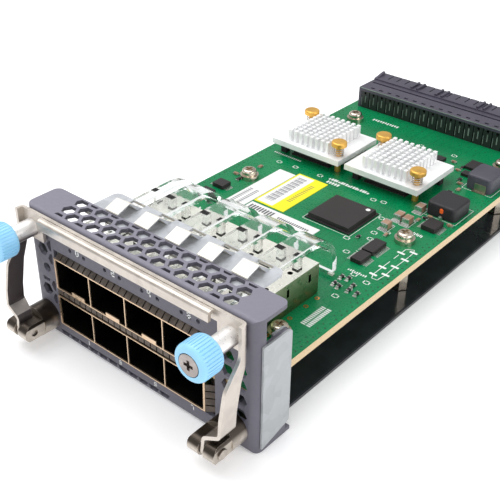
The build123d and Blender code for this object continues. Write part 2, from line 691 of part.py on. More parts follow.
save(port_cage(BOARD_TOP, upper_cage_top, -1), "upper_port_cage")
save(port_cage(lower_cage_bottom, board_bottom, 1), "lower_port_cage")
save(cage_fingers(upper_cage_top, 1, FINGER_BOW_TOP, BOARD_TOP, upper_cage_top), "upper_cage_fingers")
save(cage_fingers(lower_cage_bottom, -1, FINGER_BOW_BOTTOM, lower_cage_bottom, board_bottom),
     "lower_cage_fingers")
save(host_connectors(BOARD_TOP, 1), "upper_host_connectors")
save(host_connectors(board_bottom, -1), "lower_host_connectors")

# Folded finger strip in the slot between the two rows, in front of the board edge
with BuildPart() as middle_fingers:
    with BuildSketch(Plane.YZ.offset(-cage_half)) as fold:
        with BuildLine():
            Polyline(
                (MIDDLE_BACK, BOARD_TOP - MIDDLE_GAP), (MIDDLE_FRONT, BOARD_TOP - MIDDLE_GAP - MIDDLE_SLOPE),
                (MIDDLE_FRONT, board_bottom + MIDDLE_GAP + MIDDLE_SLOPE),
                (MIDDLE_BACK, board_bottom + MIDDLE_GAP),
                (MIDDLE_BACK, board_bottom + MIDDLE_GAP + FINGER_SHEET),
                (MIDDLE_FRONT + FINGER_SHEET, board_bottom + MIDDLE_GAP + MIDDLE_SLOPE + FINGER_SHEET),
                (MIDDLE_FRONT + FINGER_SHEET, BOARD_TOP - MIDDLE_GAP - MIDDLE_SLOPE - FINGER_SHEET),
                (MIDDLE_BACK, BOARD_TOP - MIDDLE_GAP - FINGER_SHEET), close=True)
        make_face()
    extrude(amount=2 * cage_half)
    for i in range(int(2 * cage_half / FINGER_PITCH)):
        slit = -cage_half + (i + 1) * FINGER_PITCH
        block(slit - MIDDLE_SLIT / 2, slit + MIDDLE_SLIT / 2, MIDDLE_FRONT - 1, MIDDLE_BACK - MIDDLE_SPINE,
              board_bottom + MIDDLE_GAP, BOARD_TOP - MIDDLE_GAP - MIDDLE_SLOPE - FINGER_SHEET / 2, Mode.SUBTRACT)
save(middle_fingers, "middle_finger_strip")

# Clear light pipes, one twin pipe for each column of ports and one for the status lamp
def pipe_path(start):
    """The section line of a pipe: straight back over the cage, then down to the board."""
    bend_end = PIPE_BEND_START + PIPE_BEND
    with BuildSketch(Plane.YZ, mode=Mode.PRIVATE) as strip:
        with BuildLine() as route:
            run = Line((start, LED_Z), (PIPE_BEND_START, LED_Z))
            turn = JernArc(start=run @ 1, tangent=run % 1, radius=PIPE_BEND, arc_size=-90)
            Line(turn @ 1, (bend_end, BOARD_TOP + LED_BODY_HEIGHT + PIPE_END_GAP))
        trace(route.edges(), line_width=PIPE_SIZE)
    return strip.sketch


def foot(x, y):
    """A peg under a pipe that stands on the cage."""
    block(x - PIPE_SIZE / 2, x + PIPE_SIZE / 2, y - PIPE_SIZE / 2, y + PIPE_SIZE / 2, upper_cage_top, LED_Z)


pipe_centres = [centre + LED_OFFSET for centre in port_centres]
lamp_y = PIPE_BEND_START + PIPE_BEND
with BuildPart() as light_pipes:
    bar = extrude(pipe_path(PIPE_FRONT), amount=PIPE_SIZE, mode=Mode.PRIVATE)
    web = extrude(pipe_path(PIPE_WEB_START), amount=LED_PAIR_SPACING, mode=Mode.PRIVATE)
    for centre in pipe_centres:
        for half in (-0.5, 0.5):
            x = centre + half * LED_PAIR_SPACING
            add(Pos(x - PIPE_SIZE / 2, 0, 0) * bar)
            foot(x, PIPE_FOOT_FRONT)
            foot(x, PIPE_FOOT_BACK)
        add(Pos(centre - LED_PAIR_SPACING / 2, 0, 0) * web)
save(light_pipes, "light_pipes")

with BuildPart() as status_pipe:
    bar = extrude(pipe_path(STATUS_PIPE_START), amount=PIPE_SIZE, mode=Mode.PRIVATE)
    add(Pos(STATUS_PIPE_X - PIPE_SIZE / 2, 0, 0) * bar)
    block(STATUS_PIPE_X - PIPE_SIZE / 2, STATUS_PIPE_X + PIPE_SIZE / 2, STATUS_PIPE_START,
          STATUS_PIPE_START + PIPE_SIZE, LED_Z - PIPE_SIZE / 2, LED_Z + PIPE_SIZE / 2)
    block(STATUS_X - PIPE_SIZE / 2, STATUS_PIPE_X + PIPE_SIZE / 2, STATUS_PIPE_START,
          STATUS_PIPE_START + PIPE_SIZE, LED_Z - PIPE_SIZE / 2, LED_Z + PIPE_SIZE / 2)
    block(STATUS_X - PIPE_SIZE / 2, STATUS_X + PIPE_SIZE / 2, STATUS_PIPE_START,
          STATUS_PIPE_START + PIPE_SIZE, STATUS_Z - PIPE_SIZE / 2, LED_Z + PIPE_SIZE / 2)
    rod(STATUS_X, STATUS_Z, PIPE_FRONT, STATUS_PIPE_START + PIPE_SIZE / 2, PIPE_SIZE / 2)
    foot(STATUS_PIPE_X, PIPE_FOOT_FRONT)
    foot(STATUS_PIPE_X, PIPE_FOOT_BACK)
save(status_pipe, "status_light_pipe")

with BuildPart() as lamps:
    lamp_places = [x + half * LED_PAIR_SPACING for x in pipe_centres for half in (-0.5, 0.5)]
    for x in lamp_places + [STATUS_PIPE_X]:
        block(x - LED_BODY_WIDTH / 2, x + LED_BODY_WIDTH / 2, lamp_y - LED_BODY_DEPTH / 2,
              lamp_y + LED_BODY_DEPTH / 2, BOARD_TOP, BOARD_TOP + LED_BODY_HEIGHT)
save(lamps, "indicator_lamps")


def arm(side):
    """One side arm of the handle, jogged inward to its post."""
    outer = HANDLE_MIDDLE + side * (HANDLE_HALF - HANDLE_SHEET / 2)
    inner = HANDLE_MIDDLE + side * POST_HALF
    with BuildPart() as strip:
        with BuildSketch(Plane.XZ.offset(-1)):
            with BuildLine() as bent:
                FilletPolyline((inner, POST_Z - ARM_END_RADIUS), (inner, ARM_JOG_LOW),
                               (outer, ARM_JOG_HIGH), (outer, HANDLE_TOP), radius=ARM_JOG_BEND)
            trace(bent.edges(), line_width=HANDLE_SHEET)
        extrude(amount=ARM_FRONT_REACH + 4)
        with BuildSketch(Plane.YZ.offset(outer - 10)):
            with BuildLine():
                front = FilletPolyline(
                    (PIN_Y - ARM_END_RADIUS, POST_Z), (-ARM_FRONT_REACH, ARM_JOG_HIGH),
                    (-ARM_LOW_REACH, ARM_LOW_Z), (-ARM_MIDDLE_REACH, ARM_MIDDLE_Z),
                    (arm_top_front, ARM_KINK), (arm_top_front, HANDLE_TOP), radius=ARM_EDGE_BEND)
                Line(front @ 1, (-HANDLE_GAP, HANDLE_TOP))
                back = FilletPolyline(
                    (-HANDLE_GAP, HANDLE_TOP), (-HANDLE_GAP, ARM_KINK),
                    (-ARM_MIDDLE_REACH + ARM_WIDTH, ARM_MIDDLE_Z), (-ARM_LOW_REACH + ARM_WIDTH, ARM_LOW_Z),
                    (-ARM_FRONT_REACH + ARM_WIDTH, ARM_JOG_HIGH), (PIN_Y + ARM_END_RADIUS, ARM_JOG_LOW),
                    (PIN_Y + ARM_END_RADIUS, POST_Z), radius=ARM_EDGE_BEND / 4)
                ThreePointArc(back @ 1, (PIN_Y, POST_Z - ARM_END_RADIUS), front @ 0)
            make_face()
        extrude(amount=20, mode=Mode.INTERSECT)
    return strip


arm_top_front = -HANDLE_GAP - ARM_TOP_WIDTH
arms = {side_name: arm(side) for side_name, side in sides}
grip_back = -HANDLE_GAP
grip_front = -HANDLE_GAP - GRIP_DEPTH
with BuildPart() as handle:
    for side_name, side in sides:
        add(arms[side_name].part)
        outer = HANDLE_MIDDLE + side * HANDLE_HALF
        inner = outer - side * HANDLE_CORNER_IN
        # Corner plate that carries the thumbscrew, bent round into the arm
        with BuildSketch(Plane.XY.offset(HANDLE_TOP - HANDLE_CORNER_DROP)):
            with BuildLine():
                Polyline(
                    (inner, -HANDLE_GAP), (outer, -HANDLE_GAP), (outer, arm_top_front),
                    (outer - side * HANDLE_SHEET, arm_top_front), (outer - side * HANDLE_SHEET, web_front),
                    (inner, web_front), close=True)
            make_face()
            fillet(vertices().sort_by_distance((outer, -HANDLE_GAP, 0))[0], HANDLE_BEND)
        extrude(amount=HANDLE_CORNER_DROP)
    # The arms were square at the corner bend, so the same round is cut there
    for side_name, side in sides:
        outer = HANDLE_MIDDLE + side * HANDLE_HALF
        with BuildSketch(Plane.XY.offset(ARM_MIDDLE_Z)):
            with BuildLine():
                Polyline((outer, -HANDLE_GAP), (outer - side * HANDLE_BEND, -HANDLE_GAP),
                         (outer, -HANDLE_GAP - HANDLE_BEND), close=True)
            make_face()
            with Locations((outer - side * HANDLE_BEND, -HANDLE_GAP - HANDLE_BEND)):
                Circle(HANDLE_BEND, mode=Mode.SUBTRACT)
        extrude(amount=HANDLE_TOP - ARM_MIDDLE_Z + 1, mode=Mode.SUBTRACT)
    # Grip: the top edge folded forward and down into a lip
    block(HANDLE_MIDDLE - HANDLE_HALF + HANDLE_CORNER_IN, HANDLE_MIDDLE + HANDLE_HALF - HANDLE_CORNER_IN,
          web_front, -HANDLE_GAP, HANDLE_TOP - WEB_DROP, HANDLE_TOP)
    with BuildSketch(Plane.YZ.offset(HANDLE_MIDDLE - GRIP_HALF)):
        with BuildLine():
            Polyline(
                (grip_back, HANDLE_TOP - WEB_DROP), (grip_back, HANDLE_TOP), (grip_front, HANDLE_TOP),
                (grip_front, HANDLE_TOP - GRIP_LIP), (grip_front + HANDLE_SHEET, HANDLE_TOP - GRIP_LIP),
                (grip_front + HANDLE_SHEET, HANDLE_TOP - HANDLE_SHEET), (web_front, HANDLE_TOP - HANDLE_SHEET),
                (web_front, HANDLE_TOP - WEB_DROP), close=True)
        make_face()
        fillet(vertices().sort_by_distance((grip_front, HANDLE_TOP, 0))[0], GRIP_ROUND)
    extrude(amount=2 * GRIP_HALF)
    # Seam between the two layers of the fold
    seam_y = grip_back - GRIP_SEAM_FROM_BACK
    block(HANDLE_MIDDLE - GRIP_HALF - 1, HANDLE_MIDDLE + GRIP_HALF + 1, seam_y - GRIP_SEAM_WIDTH / 2,
          seam_y + GRIP_SEAM_WIDTH / 2, HANDLE_TOP - GRIP_SEAM_DEPTH, HANDLE_TOP + 1, Mode.SUBTRACT)
    for side_name, side in sides:
        rod(HANDLE_MIDDLE + side * SCREW_HALF, SCREW_Z, -20, 0, FERRULE_RADIUS, Mode.SUBTRACT)
    # Pivot holes through both arms
    with BuildSketch(Plane.YZ.offset(HANDLE_MIDDLE - HANDLE_HALF)) as pivot:
        with Locations((PIN_Y, POST_Z)):
            Circle(PIN_RADIUS + PIN_CLEARANCE)
    extrude(amount=2 * HANDLE_HALF, mode=Mode.SUBTRACT)
save(handle, "handle")

for side_name, side in sides:
    post_x = HANDLE_MIDDLE + side * POST_HALF
    # Post: a turned root, two milled ears with a slot, and a riveted stud
    with BuildPart() as post:
        ear_half = POST_RADIUS - POST_FLAT
        rod(post_x, POST_Z, -POST_LENGTH, -POST_SHOULDER, POST_RADIUS)
        with BuildSketch(Plane.YZ.offset(post_x - ear_half)):
            with BuildLine():
                tip_y = EAR_HALF_HEIGHT - POST_LENGTH
                top = Line((0, POST_Z + EAR_HALF_HEIGHT), (tip_y, POST_Z + EAR_HALF_HEIGHT))
                nose = ThreePointArc(top @ 1, (-POST_LENGTH, POST_Z), (tip_y, POST_Z - EAR_HALF_HEIGHT))
                Polyline(nose @ 1, (0, POST_Z - EAR_HALF_HEIGHT), top @ 0)
            make_face()
        extrude(amount=2 * ear_half, mode=Mode.INTERSECT)
        slot_half = HANDLE_SHEET / 2 + EAR_SLOT_CLEARANCE
        block(post_x - slot_half, post_x + slot_half, -POST_LENGTH - 1,
              PIN_Y + ARM_END_RADIUS + EAR_SLOT_CLEARANCE, 0, POST_Z + POST_RADIUS + 1, Mode.SUBTRACT)
        rod(post_x, POST_Z, -POST_SHOULDER, 0, POST_RADIUS)
        rod(post_x, POST_Z, 0, STUD_LENGTH, STUD_RADIUS)
        rod(post_x, POST_Z, FACE_SHEET, STUD_LENGTH, STUD_HEAD_RADIUS)
        with BuildSketch(Plane.YZ.offset(post_x - POST_RADIUS - 1)):
            with Locations((PIN_Y, POST_Z)):
                Circle(PIN_RADIUS)
        extrude(amount=2 * POST_RADIUS + 2, mode=Mode.SUBTRACT)
    save(post, f"handle_post_{side_name}")

    # Pivot pin with a low head on the outside
    with BuildPart() as pin:
        inner_end = post_x - side * (POST_RADIUS - POST_FLAT - PIN_RECESS)
        outer_end = post_x + side * (POST_RADIUS - POST_FLAT)
        with BuildSketch(Plane.YZ.offset(inner_end)):
            with Locations((PIN_Y, POST_Z)):
                Circle(PIN_RADIUS)
        extrude(amount=outer_end - inner_end)
        with BuildSketch(Plane.YZ.offset(outer_end)):
            with Locations((PIN_Y, POST_Z)):
                Circle(PIN_HEAD_RADIUS)
        extrude(amount=side * PIN_HEAD)
        fillet(pin.edges().filter_by(GeomType.CIRCLE).sort_by(Axis.X)[-1 if side > 0 else 0], PIN_HEAD / 2)
    save(pin, f"pivot_pin_{side_name}")

    screw_x = HANDLE_MIDDLE + side * SCREW_HALF
    # Ferrule pressed into the corner plate; its lip keeps the screw captive
    with BuildPart() as ferrule:
        rod(screw_x, SCREW_Z, ferrule_front, -HANDLE_GAP, FERRULE_RADIUS)
        rod(screw_x, SCREW_Z, -HANDLE_GAP, -HANDLE_GAP + FERRULE_FLANGE, FERRULE_RADIUS + FERRULE_SHOULDER)
        rod(screw_x, SCREW_Z, ferrule_front - 1, 0, SHANK_RADIUS + SCREW_CLEARANCE, Mode.SUBTRACT)
        rod(screw_x, SCREW_Z, ferrule_front + FERRULE_LIP, 0, THREAD_RADIUS + SCREW_CLEARANCE, Mode.SUBTRACT)
    save(ferrule, f"ferrule_{side_name}")

    # Screw with a cross recess
    with BuildPart() as screw:
        rod(screw_x, SCREW_Z, knob_front - HEAD_PROUD, knob_front + SCREW_HEAD_LENGTH, SCREW_HEAD_RADIUS)
        fillet(screw.edges().filter_by(GeomType.CIRCLE).sort_by(Axis.Y)[0], HEAD_PROUD)
        rod(screw_x, SCREW_Z, knob_front, thread_tip, SHANK_RADIUS)
        rod(screw_x, SCREW_Z, thread_start, thread_tip, THREAD_RADIUS)
        chamfer(screw.edges().filter_by(GeomType.CIRCLE).sort_by(Axis.Y)[-1], THREAD_RADIUS / 4)
        for across, up in ((CROSS_LENGTH, CROSS_WIDTH), (CROSS_WIDTH, CROSS_LENGTH)):
            block(screw_x - across / 2, screw_x + across / 2, knob_front - 1, knob_front + CROSS_DEPTH,
                  SCREW_Z - up / 2, SCREW_Z + up / 2, Mode.SUBTRACT)
    save(screw, f"thumbscrew_{side_name}")

    # Plastic knob with fine grooves, hollow at the back so that it slides over the ferrule
    with BuildPart() as knob:
        rod(screw_x, SCREW_Z, knob_front, KNOB_BACK, KNOB_RADIUS)
        fillet(knob.edges().filter_by(GeomType.CIRCLE), KNOB_ROUND)
        rod(screw_x, SCREW_Z, recess_end, KNOB_BACK + 1, FERRULE_RADIUS + KNOB_FERRULE_GAP, Mode.SUBTRACT)
        rod(screw_x, SCREW_Z, knob_front - 1, knob_front + SCREW_HEAD_LENGTH,
            SCREW_HEAD_RADIUS + SCREW_HEAD_GAP, Mode.SUBTRACT)
        rod(screw_x, SCREW_Z, knob_front, 0, SHANK_RADIUS, Mode.SUBTRACT)
        with BuildSketch(Plane.XZ.offset(-knob_front)):
            with Locations((screw_x, SCREW_Z)):
                with PolarLocations(KNOB_RADIUS, KNOB_GROOVES):
                    Rectangle(2 * KNOB_GROOVE_DEPTH, KNOB_GROOVE_WIDTH)
        extrude(amount=knob_front - KNOB_BACK, mode=Mode.SUBTRACT)
    save(knob, f"knob_{side_name}")

    with BuildPart() as thrust_washer:
        rod(screw_x, SCREW_Z, recess_end, recess_end + THRUST_WASHER, FERRULE_RADIUS)
        rod(screw_x, SCREW_Z, recess_end - 1, 0, SHANK_RADIUS + SCREW_CLEARANCE, Mode.SUBTRACT)
    save(thrust_washer, f"thrust_washer_{side_name}")

    # Spring that pushes the screw out of the chassis
    spring_start = recess_end + THRUST_WASHER + SPRING_WIRE / 2
    spring_length = ferrule_front - recess_end - THRUST_WASHER - SPRING_WIRE
    with BuildPart() as spring:
        with BuildLine():
            coil = Helix(spring_length / SPRING_TURNS, spring_length, SPRING_RADIUS,
                         center=(screw_x, spring_start, SCREW_Z), direction=(0, 1, 0))
        with BuildSketch(Plane(origin=coil @ 0, z_dir=coil % 0)):
            Circle(SPRING_WIRE / 2)
        sweep(path=coil)
    save(spring, f"screw_spring_{side_name}")

# Circuit board with its mounting holes and the relief for the left side return
with BuildPart() as board:
    block(-BOARD_WIDTH / 2, BOARD_WIDTH / 2, BOARD_FRONT, BOARD_BACK, board_bottom, BOARD_TOP)
    block(-BOARD_WIDTH, FACE_LEFT + FACE_SHEET + CLIP_SHEET + BOARD_NOTCH_WALL, 0, BOARD_NOTCH_DEPTH,
          0, FACE_HEIGHT, Mode.SUBTRACT)
    for x, y in board_screw_points:
        upright(x, y, board_bottom - 1, BOARD_TOP + 1, BOARD_HOLE_RADIUS, Mode.SUBTRACT)
    for sink_x in (SINK_LEFT_X, SINK_RIGHT_X):
        for way in (-1, 1):
            upright(sink_x + way * push_x, SINK_Y - way * push_y, board_bottom - 1, BOARD_TOP + 1,
                    PUSH_RADIUS + PUSH_CLEARANCE, Mode.SUBTRACT)
    fillet(board.edges().filter_by(Axis.Z).group_by(Axis.Y)[-1], BOARD_CORNER)
save(board, "circuit_board")

# Tray under the board; its front tongue steps up over the bottom flange
with BuildPart() as tray:
    with BuildSketch(Plane.YZ.offset(TRAY_LEFT)):
        with BuildLine():
            Polyline(
                (TONGUE_FRONT, FACE_SHEET + TRAY_SHEET), (TONGUE_FRONT, FACE_SHEET),
                (BOTTOM_FLANGE_DEPTH + TRAY_GAP, FACE_SHEET), (BOTTOM_FLANGE_DEPTH + TRAY_GAP, 0),
                (TRAY_BACK, 0), (TRAY_BACK, TRAY_SHEET),
                (BOTTOM_FLANGE_DEPTH + TRAY_GAP + 2 * TRAY_SHEET, TRAY_SHEET),
                (BOTTOM_FLANGE_DEPTH + TRAY_GAP + TRAY_SHEET, FACE_SHEET + TRAY_SHEET), close=True)
        make_face()
    extrude(amount=TRAY_RIGHT - TRAY_LEFT)
    for low, high in ((TRAY_LEFT - 1, -TONGUE_HALF), (TONGUE_HALF, TRAY_RIGHT + 1)):
        block(low, high, 0, BOTTOM_FLANGE_DEPTH + TRAY_GAP, 0, FACE_HEIGHT, Mode.SUBTRACT)
    for x, y in rivet_points:
        upright(x, y, 0, FACE_SHEET + TRAY_SHEET + 1, RIVET_RADIUS, Mode.SUBTRACT)
save(tray, "tray")

with BuildPart() as rivets:
    for x, y in rivet_points:
        upright(x, y, 0, FACE_SHEET + TRAY_SHEET, RIVET_RADIUS)
        upright(x, y, FACE_SHEET + TRAY_SHEET, FACE_SHEET + TRAY_SHEET + RIVET_HEAD, RIVET_HEAD_RADIUS)
save(rivets, "tray_rivets")

with BuildPart() as film:
    block(TRAY_LEFT + FILM_MARGIN, TRAY_RIGHT - FILM_MARGIN,
          BOTTOM_FLANGE_DEPTH + TRAY_GAP + 3 * TRAY_SHEET, TRAY_BACK - FILM_MARGIN,
          TRAY_SHEET, TRAY_SHEET + FILM_THICK)
    for x, y in board_screw_points:
        upright(x, y, 0, 5, STANDOFF_RADIUS + FILM_MARGIN, Mode.SUBTRACT)
save(film, "insulating_film")

with BuildPart() as standoffs:
    for x, y in board_screw_points:
        with BuildSketch(Plane.XY.offset(TRAY_SHEET)):
            with Locations((x, y)):
                RegularPolygon(STANDOFF_RADIUS, 6, major_radius=False)
                Circle(M3_RADIUS, mode=Mode.SUBTRACT)
        extrude(amount=board_bottom - TRAY_SHEET)
save(standoffs, "standoffs")

with BuildPart() as washers:
    for x, y in board_screw_points:
        upright(x, y, BOARD_TOP, BOARD_TOP + WASHER_THICK, WASHER_RADIUS)
        upright(x, y, BOARD_TOP - 1, BOARD_TOP + WASHER_THICK + 1, M3_RADIUS, Mode.SUBTRACT)
save(washers, "screw_washers")

with BuildPart() as board_screws:
    seat = BOARD_TOP + WASHER_THICK
    for x, y in board_screw_points:
        upright(x, y, board_bottom - THREAD_DEPTH, seat, M3_RADIUS)
        upright(x, y, seat, seat + HEAD_HEIGHT, HEAD_RADIUS)
    fillet(board_screws.edges().filter_by(GeomType.CIRCLE).group_by(Axis.Z)[-1], HEAD_HEIGHT / 2)
    for x, y in board_screw_points:
        for across, deep in ((CROSS_LENGTH, CROSS_WIDTH), (CROSS_WIDTH, CROSS_LENGTH)):
            block(x - across / 2, x + across / 2, y - deep / 2, y + deep / 2,
                  seat + HEAD_HEIGHT - CROSS_DEPTH, seat + HEAD_HEIGHT + 1, Mode.SUBTRACT)
save(board_screws, "board_screws")

# Heat sinks with their chips, pads, push pins and springs
for side_name, sink_x in (("left", SINK_LEFT_X), ("right", SINK_RIGHT_X)):
    with BuildPart() as sink:
        block(sink_x - SINK_WIDTH / 2, sink_x + SINK_WIDTH / 2,
              SINK_Y - SINK_DEPTH / 2, SINK_Y + SINK_DEPTH / 2, sink_under, SINK_TOP)
        with BuildSketch(Plane.XY.offset(SINK_TOP)):
            with Locations((sink_x, SINK_Y)):
                with GridLocations(FIN_PITCH, FIN_PITCH, FIN_COLUMNS, FIN_ROWS):
                    Rectangle(FIN_WIDTH, FIN_LENGTH)
        extrude(amount=FIN_HEIGHT)
        for way in (-1, 1):
            upright(sink_x + way * push_x, SINK_Y - way * push_y, sink_under - 1, SINK_TOP + 1,
                    PUSH_RADIUS + PUSH_CLEARANCE, Mode.SUBTRACT)
    save(sink, f"heat_sink_{side_name}")

    with BuildPart() as chip:
        block(sink_x - CHIP_SIZE / 2, sink_x + CHIP_SIZE / 2,
              SINK_Y - CHIP_SIZE / 2, SINK_Y + CHIP_SIZE / 2, BOARD_TOP, BOARD_TOP + SUBSTRATE)
        block(sink_x - CHIP_SIZE / 2 + PAD_INSET, sink_x + CHIP_SIZE / 2 - PAD_INSET,
              SINK_Y - CHIP_SIZE / 2 + PAD_INSET, SINK_Y + CHIP_SIZE / 2 - PAD_INSET,
              BOARD_TOP + SUBSTRATE, chip_top)
    save(chip, f"transceiver_chip_{side_name}")

    with BuildPart() as pad:
        block(sink_x - CHIP_SIZE / 2 + PAD_INSET, sink_x + CHIP_SIZE / 2 - PAD_INSET,
              SINK_Y - CHIP_SIZE / 2 + PAD_INSET, SINK_Y + CHIP_SIZE / 2 - PAD_INSET, chip_top, sink_under)
    save(pad, f"thermal_pad_{side_name}")

push_points = [(x + way * push_x, SINK_Y - way * push_y)
               for x in (SINK_LEFT_X, SINK_RIGHT_X) for way in (-1, 1)]
with BuildPart() as push_pins:
    for x, y in push_points:
        upright(x, y, board_bottom - PUSH_TIP, PUSH_HEAD_Z, PUSH_RADIUS)
        upright(x, y, PUSH_HEAD_Z - PUSH_HEAD_HEIGHT, PUSH_HEAD_Z, PUSH_HEAD_RADIUS)
    chamfer(push_pins.edges().filter_by(GeomType.CIRCLE).group_by(Axis.Z)[0], PUSH_RADIUS / 2)
    fillet(push_pins.edges().filter_by(GeomType.CIRCLE).group_by(Axis.Z)[-1], PUSH_HEAD_HEIGHT / 3)
save(push_pins, "heat_sink_push_pins")

with BuildPart() as pin_springs:
    coil_height = PUSH_HEAD_Z - PUSH_HEAD_HEIGHT - SINK_TOP - PIN_SPRING_WIRE
    with BuildLine(Plane.XY.offset(SINK_TOP + PIN_SPRING_WIRE / 2)):
        coil = Helix(coil_height / PIN_SPRING_TURNS, coil_height, PUSH_SPRING_RADIUS)
    with BuildSketch(Plane(origin=coil @ 0, z_dir=coil % 0)):
        Circle(PIN_SPRING_WIRE / 2)
    one_coil = sweep(path=coil, mode=Mode.PRIVATE)
    for x, y in push_points:
        add(Pos(x, y, 0) * one_coil)
save(pin_springs, "push_pin_springs")

with BuildPart() as corner_pads:
    for sink_x in (SINK_LEFT_X, SINK_RIGHT_X):
        for way in (-1, 1):
            x = sink_x + way * push_x
            y = SINK_Y + way * push_y
            block(x - CORNER_PAD / 2, x + CORNER_PAD / 2, y - CORNER_PAD / 2, y + CORNER_PAD / 2,
                  BOARD_TOP, sink_under)
save(corner_pads, "heat_sink_corner_pads")

# Main chip in its ball grid package
with BuildPart() as main_chip:
    half = MAIN_CHIP_SIZE / 2
    block(MAIN_CHIP_X - half, MAIN_CHIP_X + half, MAIN_CHIP_Y - half, MAIN_CHIP_Y + half,
          BOARD_TOP, BOARD_TOP + SUBSTRATE)
    with BuildSketch(Plane.XY.offset(BOARD_TOP + SUBSTRATE)):
        with Locations((MAIN_CHIP_X, MAIN_CHIP_Y)):
            Rectangle(MAIN_CHIP_SIZE - 2 * PAD_INSET, MAIN_CHIP_SIZE - 2 * PAD_INSET)
    extrude(amount=MAIN_CHIP_HEIGHT - SUBSTRATE, taper=MAIN_CHIP_TAPER)
save(main_chip, "main_chip")


def flat_package(x, y, width, depth, height):
    """A moulded chip body with a row of leads on its two long sides."""
    block(x - width / 2, x + width / 2, y - depth / 2, y + depth / 2,
          BOARD_TOP + LEAD_THICK / 2, BOARD_TOP + height)
    count = int(depth / LEAD_PITCH) - 1
    for i in range(count):
        lead_y = y + (i - (count - 1) / 2) * LEAD_PITCH
        block(x - width / 2 - LEAD_LENGTH, x + width / 2 + LEAD_LENGTH, lead_y - LEAD_WIDTH / 2,
              lead_y + LEAD_WIDTH / 2, BOARD_TOP, BOARD_TOP + LEAD_THICK)


with BuildPart() as logic_chips:
    for x, y, width, depth in LOGIC_CHIPS:
        flat_package(x, y, width, depth, LOGIC_HEIGHT)
save(logic_chips, "logic_chips")

with BuildPart() as power_chip:
    flat_package(POWER_CHIP_X, POWER_CHIP_Y, POWER_CHIP_SIZE - LEAD_LENGTH, POWER_CHIP_SIZE,
                 POWER_CHIP_HEIGHT)
save(power_chip, "power_chip")

with BuildPart() as rear_chips:
    for x, y, width, depth in REAR_CHIPS:
        block(x - width / 2, x + width / 2, y - depth / 2, y + depth / 2,
              BOARD_TOP, BOARD_TOP + REAR_CHIP_HEIGHT)
save(rear_chips, "rear_chips")

with BuildPart() as front_coil:
    half = COIL_SIZE / 2
    block(COIL_X - half, COIL_X + half, COIL_Y - half, COIL_Y + half, BOARD_TOP, BOARD_TOP + COIL_HEIGHT)
    fillet(front_coil.edges().filter_by(Axis.Z), COIL_ROUND)
    fillet(front_coil.faces().sort_by(Axis.Z)[-1].edges(), COIL_TOP_ROUND)
save(front_coil, "power_coil_front")

with BuildPart() as back_coil:
    block(BACK_COIL_X - BACK_COIL_WIDTH / 2, BACK_COIL_X + BACK_COIL_WIDTH / 2,
          BACK_COIL_Y - BACK_COIL_DEPTH / 2, BACK_COIL_Y + BACK_COIL_DEPTH / 2,
          BOARD_TOP, BOARD_TOP + BACK_COIL_HEIGHT)
    fillet(back_coil.edges().filter_by(Axis.Z), COIL_ROUND)
    fillet(back_coil.faces().sort_by(Axis.Z)[-1].edges(), COIL_TOP_ROUND)
save(back_coil, "power_coil_rear")

with BuildPart() as capacitors:
    for x, y in CAPACITORS:
        block(x - CAPACITOR_WIDTH / 2, x + CAPACITOR_WIDTH / 2,
              y - CAPACITOR_DEPTH / 2, y + CAPACITOR_DEPTH / 2, BOARD_TOP, BOARD_TOP + CAPACITOR_HEIGHT)
save(capacitors, "ceramic_capacitors")

with BuildPart() as passives:
    for x, y in PASSIVES:
        block(x - PASSIVE_WIDTH / 2, x + PASSIVE_WIDTH / 2, y - PASSIVE_DEPTH / 2, y + PASSIVE_DEPTH / 2,
              BOARD_TOP, BOARD_TOP + PASSIVE_HEIGHT)
save(passives, "chip_resistors")

# Paper labels
for label_name, (x0, x1, y0, y1) in (
        ("white_label", WHITE_LABEL), ("yellow_label", YELLOW_LABEL), ("long_label", LONG_LABEL)):
    with BuildPart() as label:
        block(x0, x1, y0, y1, BOARD_TOP, BOARD_TOP + LABEL_THICK)
    save(label, label_name)

